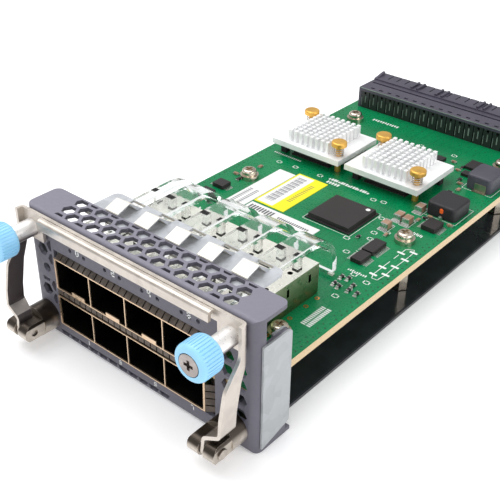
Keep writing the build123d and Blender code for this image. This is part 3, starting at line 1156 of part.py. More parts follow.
# Backplane connector: housing with a cover over the wafers and a shroud behind them
with BuildPart() as plug:
    block(PLUG_LEFT, PLUG_RIGHT, PLUG_FRONT, PLUG_SHROUD_FRONT, PLUG_TOP - PLUG_COVER, PLUG_TOP)
    block(PLUG_LEFT, PLUG_RIGHT, PLUG_SHROUD_FRONT, PLUG_SHROUD_BACK, PLUG_SHROUD_BOTTOM, PLUG_SHROUD_TOP)
    for low, high in ((PLUG_LEFT, PLUG_LEFT + plug_end_wall), (PLUG_RIGHT - plug_end_wall, PLUG_RIGHT)):
        block(low, high, PLUG_FRONT, PLUG_SHROUD_FRONT, BOARD_TOP, PLUG_TOP)
    # The board edge reaches under the shroud's front wall
    block(PLUG_LEFT - 1, PLUG_RIGHT + 1, PLUG_SHROUD_FRONT - 1, BOARD_BACK + TRAY_GAP,
          board_bottom - 1, BOARD_TOP, Mode.SUBTRACT)
    chamfer(plug.edges().filter_by(Axis.X).group_by(Axis.Y)[-1].group_by(Axis.Z)[-1], PLUG_SHROUD_CHAMFER)
    block(PLUG_LEFT + plug_end_wall, PLUG_RIGHT - plug_end_wall,
          PLUG_SHROUD_FRONT + PLUG_WALL, PLUG_SHROUD_BACK + 1,
          BOARD_TOP + PLUG_WALL, PLUG_SHROUD_TOP - PLUG_WALL, Mode.SUBTRACT)
    # Long groove and a row of notches between the wafers
    block(PLUG_LEFT + PLUG_WALL, PLUG_RIGHT - PLUG_WALL, GROOVE_Y - GROOVE_WIDTH / 2,
          GROOVE_Y + GROOVE_WIDTH / 2, PLUG_TOP - GROOVE_DEPTH, PLUG_TOP + 1, Mode.SUBTRACT)
    for x in wafer_centres[:-1]:
        seam_x = x + WAFER_PITCH / 2
        block(seam_x - NOTCH_WIDTH / 2, seam_x + NOTCH_WIDTH / 2, NOTCH_Y - NOTCH_LENGTH / 2,
              NOTCH_Y + NOTCH_LENGTH / 2, PLUG_TOP - NOTCH_DEPTH, PLUG_TOP + 1, Mode.SUBTRACT)
        # Shallow slots divide the back of the shroud's top into teeth
        block(seam_x - TOOTH_SLOT / 2, seam_x + TOOTH_SLOT / 2, PLUG_SHROUD_FRONT + TOOTH_SLOT_FRONT,
              PLUG_SHROUD_BACK + 1, PLUG_SHROUD_TOP - TOOTH_SLOT_DEPTH, PLUG_SHROUD_TOP + 1, Mode.SUBTRACT)
    # Pairs of standing ribs
    for x in RIB_PAIRS:
        for way in (-1, 1):
            rib_x = x + way * RIB_PAIR_HALF
            block(rib_x - RIB_WIDTH / 2, rib_x + RIB_WIDTH / 2, PLUG_SHROUD_FRONT + RIB_INSET,
                  PLUG_SHROUD_BACK - PLUG_SHROUD_CHAMFER - RIB_INSET,
                  PLUG_SHROUD_TOP - TOOTH_SLOT_DEPTH, PLUG_SHROUD_TOP + RIB_HEIGHT)
    # Pointed hook along the top of the left end
    with BuildSketch(Plane.YZ.offset(PLUG_LEFT)):
        with BuildLine():
            Polyline((PLUG_SHROUD_FRONT, PLUG_TOP - PLUG_COVER), (PLUG_SHROUD_FRONT, PLUG_SHROUD_TOP),
                     (PLUG_SHROUD_FRONT + HOOK_TIP, PLUG_SHROUD_TOP + HOOK_HEIGHT),
                     (PLUG_SHROUD_FRONT + HOOK_ROOT, PLUG_TOP - PLUG_COVER), close=True)
        make_face()
    extrude(amount=plug_end_wall)
save(plug, "backplane_connector_housing")

with BuildPart() as wafers:
    for x in wafer_centres:
        half = (WAFER_PITCH - WAFER_GAP) / 2
        block(x - half, x + half, PLUG_FRONT, PLUG_SHROUD_FRONT, BOARD_TOP, PLUG_TOP - PLUG_COVER)
        block(x - WAFER_SLOT_WIDTH / 2, x + WAFER_SLOT_WIDTH / 2, PLUG_FRONT - 1, PLUG_FRONT + WAFER_SLOT_DEPTH,
              BOARD_TOP + WAFER_SLOT_FOOT, WAFER_HOLE_Z - WAFER_SLOT_GAP, Mode.SUBTRACT)
        rod(x, WAFER_HOLE_Z, PLUG_FRONT - 1, PLUG_FRONT + WAFER_HOLE_DEPTH, WAFER_HOLE, Mode.SUBTRACT)
save(wafers, "connector_wafers")

with BuildPart() as blades:
    for x in wafer_centres:
        for z in (BLADE_LOW, BLADE_HIGH):
            block(x - BLADE_WIDTH / 2, x + BLADE_WIDTH / 2, PLUG_SHROUD_FRONT + PLUG_WALL,
                  PLUG_SHROUD_FRONT + PLUG_WALL + BLADE_REACH, z, z + BLADE_THICK)
save(blades, "connector_blades")
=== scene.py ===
import math

import bmesh
import bpy
from mathutils import Matrix, Vector


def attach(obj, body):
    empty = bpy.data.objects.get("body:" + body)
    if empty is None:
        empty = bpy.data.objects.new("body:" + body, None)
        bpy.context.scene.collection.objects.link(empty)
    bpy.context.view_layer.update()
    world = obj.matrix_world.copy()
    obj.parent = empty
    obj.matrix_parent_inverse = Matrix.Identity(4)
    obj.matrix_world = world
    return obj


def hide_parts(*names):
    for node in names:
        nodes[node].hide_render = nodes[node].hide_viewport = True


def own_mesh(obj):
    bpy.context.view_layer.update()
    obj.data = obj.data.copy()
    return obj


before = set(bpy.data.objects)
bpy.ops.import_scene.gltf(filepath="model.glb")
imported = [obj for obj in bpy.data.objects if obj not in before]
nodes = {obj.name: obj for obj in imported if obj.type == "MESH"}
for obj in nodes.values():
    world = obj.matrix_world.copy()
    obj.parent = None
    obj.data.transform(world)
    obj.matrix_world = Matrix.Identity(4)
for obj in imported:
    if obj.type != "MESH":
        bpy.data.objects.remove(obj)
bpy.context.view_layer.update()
MM = 0.001
ROOT = "chassis"


# Node helpers for the procedural materials

class Shader:
    """One material under construction; positions are the object's own, in metres."""

    def __init__(self, name, base, rough, metal=0.0):
        self.mat = bpy.data.materials.new(name)
        self.mat.use_nodes = True
        self.tree = self.mat.node_tree
        self.bsdf = self.tree.nodes["Principled BSDF"]
        self.bsdf.inputs["Base Color"].default_value = (*base, 1.0)
        self.bsdf.inputs["Roughness"].default_value = rough
        self.bsdf.inputs["Metallic"].default_value = metal
        self.coord = self.tree.nodes.new("ShaderNodeTexCoord")
        self.place = self.coord.outputs["Object"]
        self.normal = None

    def node(self, kind, **settings):
        made = self.tree.nodes.new(kind)
        for key, value in settings.items():
            setattr(made, key, value)
        return made

    def feed(self, socket, value):
        """Link a socket, or set its own value when it's a plain number or colour."""
        if isinstance(value, bpy.types.NodeSocket):
            self.tree.links.new(value, socket)
        elif isinstance(value, tuple) and len(value) == 3 and socket.type == "RGBA":
            socket.default_value = (*value, 1.0)
        else:
            socket.default_value = value

    def math(self, operation, a, b=0.0, c=None):
        made = self.node("ShaderNodeMath", operation=operation)
        self.feed(made.inputs[0], a)
        self.feed(made.inputs[1], b)
        if c is not None:
            self.feed(made.inputs[2], c)
        return made.outputs[0]

    def split(self, vector=None):
        made = self.node("ShaderNodeSeparateXYZ")
        self.feed(made.inputs[0], vector or self.place)
        return made.outputs

    def stretch(self, x, y, z):
        made = self.node("ShaderNodeMapping")
        self.feed(made.inputs["Vector"], self.place)
        made.inputs["Scale"].default_value = (x, y, z)
        return made.outputs[0]

    def noise(self, size, detail=3.0, vector=None, distortion=0.0):
        """Fractal noise whose features measure about size metres."""
        made = self.node("ShaderNodeTexNoise")
        self.feed(made.inputs["Vector"], vector or self.place)
        made.inputs["Scale"].default_value = 1.0 / size
        made.inputs["Detail"].default_value = detail
        made.inputs["Distortion"].default_value = distortion
        return made.outputs["Fac"]

    def cells(self, size, output="Color", feature="F1"):
        made = self.node("ShaderNodeTexVoronoi", feature=feature)
        self.feed(made.inputs["Vector"], self.place)
        made.inputs["Scale"].default_value = 1.0 / size
        return made.outputs[output]

    def ramp(self, fac, low, high, at=(0.0, 1.0)):
        """A colour that runs from low to high as fac runs over the range at."""
        made = self.node("ShaderNodeMapRange")
        self.feed(made.inputs["Value"], fac)
        made.inputs["From Min"].default_value = at[0]
        made.inputs["From Max"].default_value = at[1]
        return self.mix(made.outputs["Result"], low, high)

    def level(self, fac, low, high, at=(0.0, 1.0)):
        """A number that runs from low to high as fac runs over the range at."""
        made = self.node("ShaderNodeMapRange")
        self.feed(made.inputs["Value"], fac)
        made.inputs["From Min"].default_value = at[0]
        made.inputs["From Max"].default_value = at[1]
        made.inputs["To Min"].default_value = low
        made.inputs["To Max"].default_value = high
        return made.outputs["Result"]

    def mix(self, fac, a, b):
        made = self.node("ShaderNodeMix", data_type="RGBA")
        self.feed(made.inputs["Factor"], fac)
        self.feed(made.inputs["A"], a)
        self.feed(made.inputs["B"], b)
        return made.outputs["Result"]

    def edges(self, radius, sharp=0.06):
        """1 on worn edges and 0 on flats, from the bevelled normal."""
        bevel = self.node("ShaderNodeBevel", samples=4)
        bevel.inputs["Radius"].default_value = radius
        geometry = self.node("ShaderNodeNewGeometry")
        dot = self.node("ShaderNodeVectorMath", operation="DOT_PRODUCT")
        self.feed(dot.inputs[0], bevel.outputs["Normal"])
        self.feed(dot.inputs[1], geometry.outputs["Normal"])
        return self.level(dot.outputs["Value"], 1.0, 0.0, (1.0 - sharp * 2, 1.0 - sharp * 0.2))

    def bump(self, height, strength, distance):
        made = self.node("ShaderNodeBump")
        made.inputs["Strength"].default_value = strength
        made.inputs["Distance"].default_value = distance
        self.feed(made.inputs["Height"], height)
        if self.normal is not None:
            self.feed(made.inputs["Normal"], self.normal)
        self.normal = made.outputs["Normal"]
        self.feed(self.bsdf.inputs["Normal"], self.normal)

    def colour(self, value):
        self.feed(self.bsdf.inputs["Base Color"], value)

    def rough(self, value):
        self.feed(self.bsdf.inputs["Roughness"], value)

    def set(self, socket, value):
        self.bsdf.inputs[socket].default_value = value


def shade(colour, factor):
    return tuple(min(1.0, channel * factor) for channel in colour)


def powder_paint():
    base = (0.122, 0.117, 0.146)
    s = Shader("faceplate_paint", base, 0.5)
    drift = s.noise(0.018, 2.0)
    grain = s.noise(0.00035, 2.0)
    tone = s.ramp(drift, shade(base, 0.93), shade(base, 1.07), (0.3, 0.7))
    speck = s.ramp(grain, (0, 0, 0), (1, 1, 1), (0.62, 0.72))
    tone = s.mix(s.math("MULTIPLY", speck, 0.12), tone, shade(base, 1.7))
    worn = s.math("MULTIPLY", s.edges(0.0002), s.level(s.noise(0.004), 0.05, 0.55, (0.4, 0.65)))
    # Painted top light: faces that point up are lightened towards 2.3 times the base colour
    painted_top_light = s.level(s.split(s.coord.outputs["Normal"])[2], 0.0, 0.55, (0.5, 0.95))
    tone = s.mix(painted_top_light, tone, shade(base, 2.3))
    s.colour(s.mix(worn, tone, shade(base, 1.9)))
    s.rough(s.level(s.noise(0.0012), 0.42, 0.62, (0.3, 0.7)))
    s.bump(grain, 0.25, 0.00006)
    s.bump(drift, 0.08, 0.0003)
    return s.mat


def galvanised(name, base, contrast=0.12, size=0.0016, metal=0.75, front=None):
    """Zinc spangle; faces that lean to the front or back can take a bright painted highlight colour."""
    s = Shader(name, base, 0.5, metal)
    spangle = s.cells(size)
    tone = s.split(spangle)[0]
    cloud = s.noise(0.006, 4.0)
    mixed = s.math("ADD", s.math("MULTIPLY", tone, 0.6), s.math("MULTIPLY", cloud, 0.5))
    colour = s.ramp(mixed, shade(base, 1 - contrast), shade(base, 1 + contrast), (0.25, 0.8))
    scuff = s.noise(0.0009, 3.0, s.stretch(0.25, 0.25, 2.0))
    colour = s.mix(s.level(scuff, 0.0, 0.35, (0.62, 0.74)), colour, shade(base, 1.3))
    # Painted highlight: faces that lean to the front or back are coloured bright
    if front:
        lean = s.split(s.coord.outputs["Normal"])[1]
        colour = s.mix(s.level(s.math("ABSOLUTE", lean), 0.0, 1.0, (0.12, 0.3)), colour, front)
    s.colour(colour)
    s.rough(s.level(mixed, 0.44, 0.62, (0.3, 0.8)))
    s.bump(mixed, 0.12, 0.0001)
    return s.mat


def plated(name, base, rough, grain=(1.0, 1.0, 1.0), wear=0.4, metal=1.0, tarnish=0.85, painted_side_light=None):
    """Bright plated metal with a drawn grain, dulling in patches and rubbed edges.

    The last argument, a function, paints light and shade onto faces that lean one way: painted reflections
    and painted shade.
    """
    s = Shader(name, base, rough, metal)
    lines = s.noise(0.0004, 4.0, s.stretch(*grain))
    patch = s.noise(0.005, 3.0, distortion=0.6)
    colour = s.ramp(patch, shade(base, tarnish), shade(base, 1.06), (0.32, 0.66))
    colour = s.mix(s.level(lines, 0.0, 0.3, (0.5, 0.8)), colour, shade(base, 0.8))
    # Painted reflections and painted shade on faces that lean one way
    if painted_side_light:
        colour = painted_side_light(s, colour)
    rub = s.math("MULTIPLY", s.edges(0.00018), wear)
    s.colour(s.mix(rub, colour, shade(base, 1.25)))
    blotches = s.math("ADD", lines, s.math("MULTIPLY", patch, 0.5))
    s.rough(s.level(blotches, rough * 0.75, rough * 1.35, (0.5, 1.0)))
    s.bump(lines, 0.14, 0.00004)
    return s.mat


def lean(s):
    """The object's own normal, as three numbers."""
    return s.split(s.coord.outputs["Normal"])


def dark_above(s, colour):
    """Posts: the upper side mirrors the dark faceplate."""
    up = s.level(lean(s)[2], 0.0, 1.0, (0.0, 0.45))
    return s.mix(up, colour, (0.075, 0.062, 0.052))


def dark_below(s, colour):
    """Ferrules: the lower side mirrors the dark faceplate."""
    down = s.level(lean(s)[2], 1.0, 0.0, (-0.35, 0.1))
    return s.mix(down, colour, (0.17, 0.15, 0.16))


def painted_inner_shade(s, colour):
    """Handle: painted shade darkens the inner faces of its arms below the side plates."""
    x, _, z = s.split()
    across = s.math("MULTIPLY", lean(s)[0], s.math("SIGN", x))
    inner = s.math("MULTIPLY", s.math("LESS_THAN", across, -0.5), s.level(z, 1.0, 0.0, (0.031, 0.034)))
    return s.mix(inner, colour, (0.17, 0.148, 0.150))


def plastic(name, base, rough, grain=0.0003, bump=0.15, mottle=0.08, wear=0.25):
    s = Shader(name, base, rough)
    fine = s.noise(grain, 3.0)
    drift = s.noise(0.008, 3.0)
    colour = s.ramp(drift, shade(base, 1 - mottle), shade(base, 1 + mottle), (0.3, 0.7))
    rub = s.math("MULTIPLY", s.edges(0.00015), wear)
    s.colour(s.mix(rub, colour, tuple(min(1.0, c * 1.3 + 0.03) for c in base)))
    s.rough(s.level(fine, max(0.05, rough - 0.1), min(1.0, rough + 0.12), (0.3, 0.7)))
    s.bump(fine, bump, 0.00005)
    return s.mat


def solder_mask():
    """Green mask over copper on the faces, tan glass-fibre laminate on the cut edges."""
    green = (0.0, 0.195, 0.066)
    s = Shader("board_solder_mask", green, 0.3)
    flow = s.noise(0.02, 3.0)
    weave_x = s.node("ShaderNodeTexWave", wave_type="BANDS", bands_direction="X")
    weave_y = s.node("ShaderNodeTexWave", wave_type="BANDS", bands_direction="Y")
    for wave in (weave_x, weave_y):
        s.feed(wave.inputs["Vector"], s.place)
        wave.inputs["Scale"].default_value = 300.0
        wave.inputs["Distortion"].default_value = 0.6
    cloth = s.math("MULTIPLY", weave_x.outputs["Fac"], weave_y.outputs["Fac"])
    plane = s.cells(0.011, "Distance", "DISTANCE_TO_EDGE")
    tone = s.ramp(flow, shade(green, 0.86), shade(green, 1.14), (0.3, 0.7))
    tone = s.mix(s.level(plane, 0.35, 0.0, (0.0, 0.05)), tone, shade(green, 0.72))
    tone = s.mix(s.math("MULTIPLY", cloth, 0.10), tone, shade(green, 1.5))
    across = s.math("ABSOLUTE", s.split(s.coord.outputs["Normal"])[2])
    layers = s.node("ShaderNodeTexWave", wave_type="BANDS", bands_direction="Z")
    s.feed(layers.inputs["Vector"], s.place)
    layers.inputs["Scale"].default_value = 700.0
    layers.inputs["Distortion"].default_value = 1.5
    edge = s.ramp(layers.outputs["Fac"], (0.62, 0.44, 0.24), (0.80, 0.62, 0.38))
    on_face = s.math("GREATER_THAN", across, 0.5)
    s.colour(s.mix(on_face, edge, tone))
    s.rough(s.level(s.noise(0.0006), 0.2, 0.42, (0.3, 0.7)))
    s.set("Specular IOR Level", 0.3)
    s.set("Coat Weight", 0.08)
    s.set("Coat Roughness", 0.12)
    s.bump(cloth, 0.06, 0.00004)
    s.bump(plane, 0.05, 0.00003)
    return s.mat


def cage_sheet(name, outer_z, direction):
    """Nickel silver sheet, bright outside and on its rims; painted shade makes the faces inside the ports
    near black, and a painted green reflection of the board lies on the outer right wall.
    """
    base = (0.90, 0.87, 0.80)
    gold = (0.78, 0.58, 0.40)
    s = Shader(name, base, 0.3, 0.9)
    x, y, z = s.split()
    top = s.math("GREATER_THAN", s.math("MULTIPLY", s.math("SUBTRACT", z, outer_z * MM), direction), -0.00003)
    wall = s.math("GREATER_THAN", s.math("ABSOLUTE", x), 0.02893)
    rim = s.math("LESS_THAN", y, -0.00042)
    back = s.math("GREATER_THAN", y, 0.0469)
    outside = s.math("MAXIMUM", s.math("MAXIMUM", top, wall), back)
    patch = s.noise(0.009, 3.0)
    bright = s.ramp(patch, shade(base, 0.93), shade(base, 1.06), (0.3, 0.7))
    # Painted reflection of the green board on the outer right wall, deeper green towards the board
    painted_board_reflection = s.ramp(s.level(z, 0.0, 1.0, (0.0186, 0.0292)), (0.10, 0.17, 0.06), (0.34, 0.36, 0.24))
    bright = s.mix(s.math("GREATER_THAN", x, 0.02893), bright, painted_board_reflection)
    # Painted shade: faces inside the ports are near black
    dark = s.ramp(patch, (0.012, 0.011, 0.010), (0.035, 0.031, 0.027), (0.3, 0.7))
    s.colour(s.mix(rim, s.mix(outside, dark, bright), gold))
    s.rough(s.level(s.noise(0.0016), 0.24, 0.40, (0.3, 0.7)))
    s.bump(s.noise(0.005, 2.0), 0.06, 0.0001)
    return s.mat


def clear_plastic():
    s = Shader("light_pipe_acrylic", (0.96, 0.985, 0.98), 0.04)
    s.set("Transmission Weight", 1.0)
    s.set("IOR", 1.49)
    s.rough(s.level(s.noise(0.002), 0.02, 0.10, (0.35, 0.7)))
    s.colour(s.ramp(s.noise(0.01), (0.93, 0.97, 0.96), (0.99, 1.0, 1.0), (0.3, 0.7)))
    s.bump(s.noise(0.0016, 2.0), 0.10, 0.0002)
    return s.mat


def printed_paper(name, base):
    s = Shader(name, base, 0.55)
    fibre = s.noise(0.0003, 4.0)
    s.colour(s.ramp(fibre, shade(base, 0.93), shade(base, 1.03), (0.3, 0.7)))
    s.rough(s.level(fibre, 0.45, 0.65, (0.3, 0.7)))
    s.bump(fibre, 0.08, 0.00003)
    return s.mat


mats = {
    "paint": powder_paint(),
    # The strip's faces that lean to the front or back take a pale painted highlight
    "strip": galvanised("galvanised_strip", (0.50, 0.52, 0.55), 0.08, metal=0.35, front=(0.80, 0.77, 0.70)),
    "clip": galvanised("galvanised_clip", (0.42, 0.44, 0.455), 0.10, 0.003, 0.4),
    # Handle, posts and ferrules carry painted shade and painted reflections on faces that lean one way
    "handle": plated("handle_nickel", (0.63, 0.575, 0.52), 0.36, (0.12, 2.0, 2.0), metal=0.9, tarnish=0.86,
                     painted_side_light=painted_inner_shade),
    "post": plated("post_nickel", (0.62, 0.56, 0.49), 0.34, (2.0, 0.3, 2.0), tarnish=0.7, painted_side_light=dark_above),
    "ferrule": plated("ferrule_white_bronze", (0.92, 0.90, 0.88), 0.34, (0.5, 0.5, 0.5),
                      metal=0.5, tarnish=0.96,
                      painted_side_light=dark_below),
    "screw": plated("screw_steel", (0.42, 0.38, 0.36), 0.38, (1.0, 1.0, 1.0), tarnish=0.75),
    "zinc": plated("screw_zinc", (0.70, 0.62, 0.52), 0.2, (1.0, 1.0, 1.0), tarnish=0.7),
    "fingers": plated("finger_tin", (0.17, 0.14, 0.12), 0.45, (1.0, 3.0, 1.0), metal=0.8, tarnish=0.5),
    "cage_upper": cage_sheet("cage_upper_nickel_silver", 29.0, 1),
    "cage_lower": cage_sheet("cage_lower_nickel_silver", 6.1, -1),
    "knob": plastic("knob_light_blue", (0.31, 0.65, 0.92), 0.36, 0.0004, 0.12, 0.04, 0.2),
    "board": solder_mask(),
    "tray": plastic("tray_black_coat", (0.034, 0.036, 0.044), 0.35, 0.0003, 0.2, 0.2, 0.3),
    "film": plastic("film_black", (0.030, 0.031, 0.036), 0.14, 0.0015, 0.08, 0.2, 0.1),
    "sink": plated("heat_sink_aluminium", (0.93, 0.935, 0.94), 0.42, (1.0, 1.0, 1.0),
                   metal=0.25, tarnish=0.96),
    "brass": plated("push_pin_brass", (0.86, 0.50, 0.11), 0.36, (1.0, 1.0, 1.0), metal=0.8, tarnish=0.85),
    "spring": plated("spring_wire", (0.62, 0.58, 0.52), 0.28),
    "chip": plastic("chip_epoxy", (0.017, 0.013, 0.014), 0.5, 0.00018, 0.3, 0.12, 0.3),
    "coil": plastic("coil_powder", (0.014, 0.013, 0.016), 0.55, 0.0004, 0.35, 0.15, 0.4),
    "coil_grey": plastic("coil_grey_powder", (0.058, 0.055, 0.074), 0.5, 0.0004, 0.35, 0.15, 0.4),
    "ceramic": plastic("capacitor_ceramic", (0.34, 0.21, 0.14), 0.4, 0.0003, 0.1, 0.15, 0.2),
    "plug": plastic("plug_grey", (0.062, 0.056, 0.082), 0.42, 0.0004, 0.15, 0.12, 0.45),
    "wafer": plastic("wafer_black", (0.014, 0.018, 0.017), 0.4, 0.0003, 0.12, 0.2, 0.2),
    "contact": plated("contact_gold", (0.82, 0.62, 0.28), 0.25),
    "pale_tin": plated("terminal_tin", (0.40, 0.38, 0.30), 0.4, tarnish=0.7),
    "tin": plated("solder_tin", (0.78, 0.78, 0.76), 0.28, tarnish=0.8),
    "clear": clear_plastic(),
    "lamp": plastic("lamp_lens", (0.75, 0.76, 0.66), 0.3),
    "pad": plastic("thermal_pad_blue", (0.30, 0.34, 0.42), 0.7, 0.0005, 0.3, 0.1, 0.0),
    "foam": plastic("corner_pad_black", (0.012, 0.012, 0.012), 0.8, 0.0005, 0.5, 0.2, 0.0),
    "white": printed_paper("label_white", (0.84, 0.84, 0.83)),
    "yellow": printed_paper("label_yellow", (0.95, 0.84, 0.01)),
    "ink": printed_paper("print_dark", (0.09, 0.09, 0.10)),
    "grey_ink": printed_paper("print_grey", (0.30, 0.30, 0.32)),
    "olive_ink": printed_paper("print_olive", (0.42, 0.36, 0.06)),
    "screen": printed_paper("print_white", (0.80, 0.82, 0.80)),
    "trace": plastic("trace_green", (0.002, 0.165, 0.060), 0.28, 0.0004, 0.1, 0.12, 0.0),
    "pale": plastic("contact_pale", (0.20, 0.26, 0.22), 0.4, 0.0004, 0.1, 0.3, 0.0),
    "copper": plated("ring_copper", (0.85, 0.36, 0.12), 0.3, tarnish=0.8),
    "orange": plastic("mark_orange", (0.85, 0.14, 0.02), 0.4),
    "hole": plastic("hole_dark", (0.01, 0.012, 0.01), 0.6),
}

dressing = {
    "paint": ("faceplate",),
    "strip": ("grounding_finger_strip",),
    "clip": ("side_clip_left", "side_clip_right"),
    "handle": ("handle",),
    "post": ("handle_post_left", "handle_post_right", "pivot_pin_left", "pivot_pin_right"),
    "ferrule": ("ferrule_left", "ferrule_right"),
    "screw": ("thumbscrew_left", "thumbscrew_right", "thrust_washer_left", "thrust_washer_right"),
    "zinc": ("board_screws", "screw_washers", "standoffs", "tray_rivets"),
    "fingers": ("upper_cage_fingers", "lower_cage_fingers", "middle_finger_strip"),
    "cage_upper": ("upper_port_cage",),
    "cage_lower": ("lower_port_cage",),
    "knob": ("knob_left", "knob_right"),
    "board": ("circuit_board",),
    "tray": ("tray",),
    "film": ("insulating_film",),
    "sink": ("heat_sink_left", "heat_sink_right"),
    "brass": ("heat_sink_push_pins",),
    "spring": ("push_pin_springs", "screw_spring_left", "screw_spring_right"),
    "chip": ("transceiver_chip_left", "transceiver_chip_right", "main_chip", "logic_chips",
             "power_chip", "rear_chips", "chip_resistors"),
    "coil": ("power_coil_front",),
    "coil_grey": ("power_coil_rear",),
    "ceramic": ("ceramic_capacitors",),
    "pad": ("thermal_pad_left", "thermal_pad_right"),
    "foam": ("heat_sink_corner_pads",),
    "plug": ("backplane_connector_housing",),
    "wafer": ("connector_wafers", "upper_host_connectors", "lower_host_connectors"),
    "contact": ("connector_blades",),
    "clear": ("light_pipes", "status_light_pipe"),
    "lamp": ("indicator_lamps",),
    "white": ("white_label", "long_label"),
    "yellow": ("yellow_label",),
}
for key, names in dressing.items():
    for name in names:
        mesh_object = nodes[name]
        for slot in mesh_object.material_slots:
            slot.material = mats[key]

# Captive springs, copied with meshes of their own and hung on the bail; on the module they shorten as their
# screws go in
for side in ("left", "right"):
    solid = nodes["screw_spring_" + side]
    spring = bpy.data.objects.new("captive_spring_" + side, solid.data.copy())
    bpy.context.collection.objects.link(spring)
    spring.matrix_world = solid.matrix_world.copy()
    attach(spring, "bail")
    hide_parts("screw_spring_" + side)
    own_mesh(spring)


# Mesh helpers, all in millimetres

class Build:
    """Collects faces for one piece."""

    def __init__(self):
        self.bm = bmesh.new()

    def box(self, x0, x1, y0, y1, z0, z1, bevel=0.0):
        made = bmesh.ops.create_cube(self.bm, size=1.0)
        size = Matrix.Diagonal(((x1 - x0) * MM, (y1 - y0) * MM, (z1 - z0) * MM, 1.0))
        move = Matrix.Translation(((x0 + x1) / 2 * MM, (y0 + y1) / 2 * MM, (z0 + z1) / 2 * MM))
        bmesh.ops.transform(self.bm, matrix=move @ size, verts=made["verts"])
        if bevel:
            edges = list({edge for vert in made["verts"] for edge in vert.link_edges})
            bmesh.ops.bevel(self.bm, geom=edges, offset=bevel * MM, segments=2, affect="EDGES")

    def disc(self, x, y, z, radius, height=0.02, inner=0.0, sides=24):
        """A flat round or ring on the board."""
        low = []
        for level in (z, z + height):
            for r in ((radius, inner) if inner else (radius,)):
                low.append([self.bm.verts.new(((x + r * math.cos(2 * math.pi * i / sides)) * MM,
                                               (y + r * math.sin(2 * math.pi * i / sides)) * MM,
                                               level * MM)) for i in range(sides)])
        if inner:
            outer_low, inner_low, outer_high, inner_high = low
            for i in range(sides):
                j = (i + 1) % sides
                self.bm.faces.new((outer_low[i], outer_low[j], outer_high[j], outer_high[i]))
                self.bm.faces.new((inner_low[j], inner_low[i], inner_high[i], inner_high[j]))
                self.bm.faces.new((outer_high[i], outer_high[j], inner_high[j], inner_high[i]))
                self.bm.faces.new((outer_low[j], outer_low[i], inner_low[i], inner_low[j]))
        else:
            bottom, top = low
            for i in range(sides):
                j = (i + 1) % sides
                self.bm.faces.new((bottom[i], bottom[j], top[j], top[i]))
            self.bm.faces.new(top)
            self.bm.faces.new(list(reversed(bottom)))

    def strip(self, points, width, z, height=0.02):
        """A flat track along a line of points on the board."""
        for (xa, ya), (xb, yb) in zip(points, points[1:]):
            length = math.hypot(xb - xa, yb - ya)
            if length < 1e-6:
                continue
            ux, uy = (xb - xa) / length, (yb - ya) / length
            nx, ny = -uy * width / 2, ux * width / 2
            ex, ey = ux * width / 2, uy * width / 2
            ring = ((xa - ex + nx, ya - ey + ny), (xa - ex - nx, ya - ey - ny),
                    (xb + ex - nx, yb + ey - ny), (xb + ex + nx, yb + ey + ny))
            low = [self.bm.verts.new((px * MM, py * MM, z * MM)) for px, py in ring]
            high = [self.bm.verts.new((px * MM, py * MM, (z + height) * MM)) for px, py in ring]
            self.bm.faces.new(high)
            self.bm.faces.new(list(reversed(low)))
            for i in range(4):
                j = (i + 1) % 4
                self.bm.faces.new((low[i], low[j], high[j], high[i]))

    def done(self, name, material, body):
        bmesh.ops.recalc_face_normals(self.bm, faces=self.bm.faces)
        mesh = bpy.data.meshes.new(name)
        self.bm.to_mesh(mesh)
        self.bm.free()
        piece = bpy.data.objects.new(name, mesh)
        bpy.context.collection.objects.link(piece)
        piece.data.materials.append(mats[material])
        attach(piece, body)
        return piece


BOARD = 18.8
PRINT_TOP = BOARD + 0.03
TRACK_WIDTH = 0.3
TRACK_HEIGHT = 0.025
LIFT = 0.02


def print_bars(name, label, lines, z):
    """Generic bars of print on a label: each line is x0, x1, y0, y1 in millimetres."""
    bars = Build()
    for x0, x1, y0, y1 in lines:
        bars.box(x0, x1, y0, y1, z, z + LIFT)
    return bars.done(name, label, ROOT)


# Bars and fields on the paper labels
LABEL_TOP = BOARD + 0.2
yellow_field = Build()
yellow_field.box(-19.0, -12.4, 76.9, 100.6, LABEL_TOP, LABEL_TOP + LIFT)
yellow_field.done("yellow_label_field", "white", ROOT)
print_bars("yellow_label_code", "grey_ink",
           [(-17.8, -14.2, 79.4 + i * 0.72, 79.4 + i * 0.72 + 0.22 + 0.2 * (i * 7 % 3)) for i in range(27)],
           LABEL_TOP + LIFT)
print_bars("yellow_label_band", "olive_ink",
           [(-11.0, -9.3, 82.8 + i * 1.1, 83.4 + i * 1.1) for i in range(13)], LABEL_TOP)
print_bars("white_label_print", "grey_ink",
           [(-26.0, -24.6, 69.2 + i * 1.0, 69.8 + i * 1.0) for i in range(13)]
           + [(-23.4, -22.0, 71.2 + i * 1.0, 71.8 + i * 1.0) for i in range(11)], LABEL_TOP)
print_bars("long_label_print", "ink",
           [(-18.2 + i * 1.15, -17.5 + i * 1.15, 70.9 + 0.2 * (i % 2), 73.7) for i in range(9)]
           + [(-6.0 + i * 0.85, -5.5 + i * 0.85, 71.4, 72.6) for i in range(15)], LABEL_TOP)

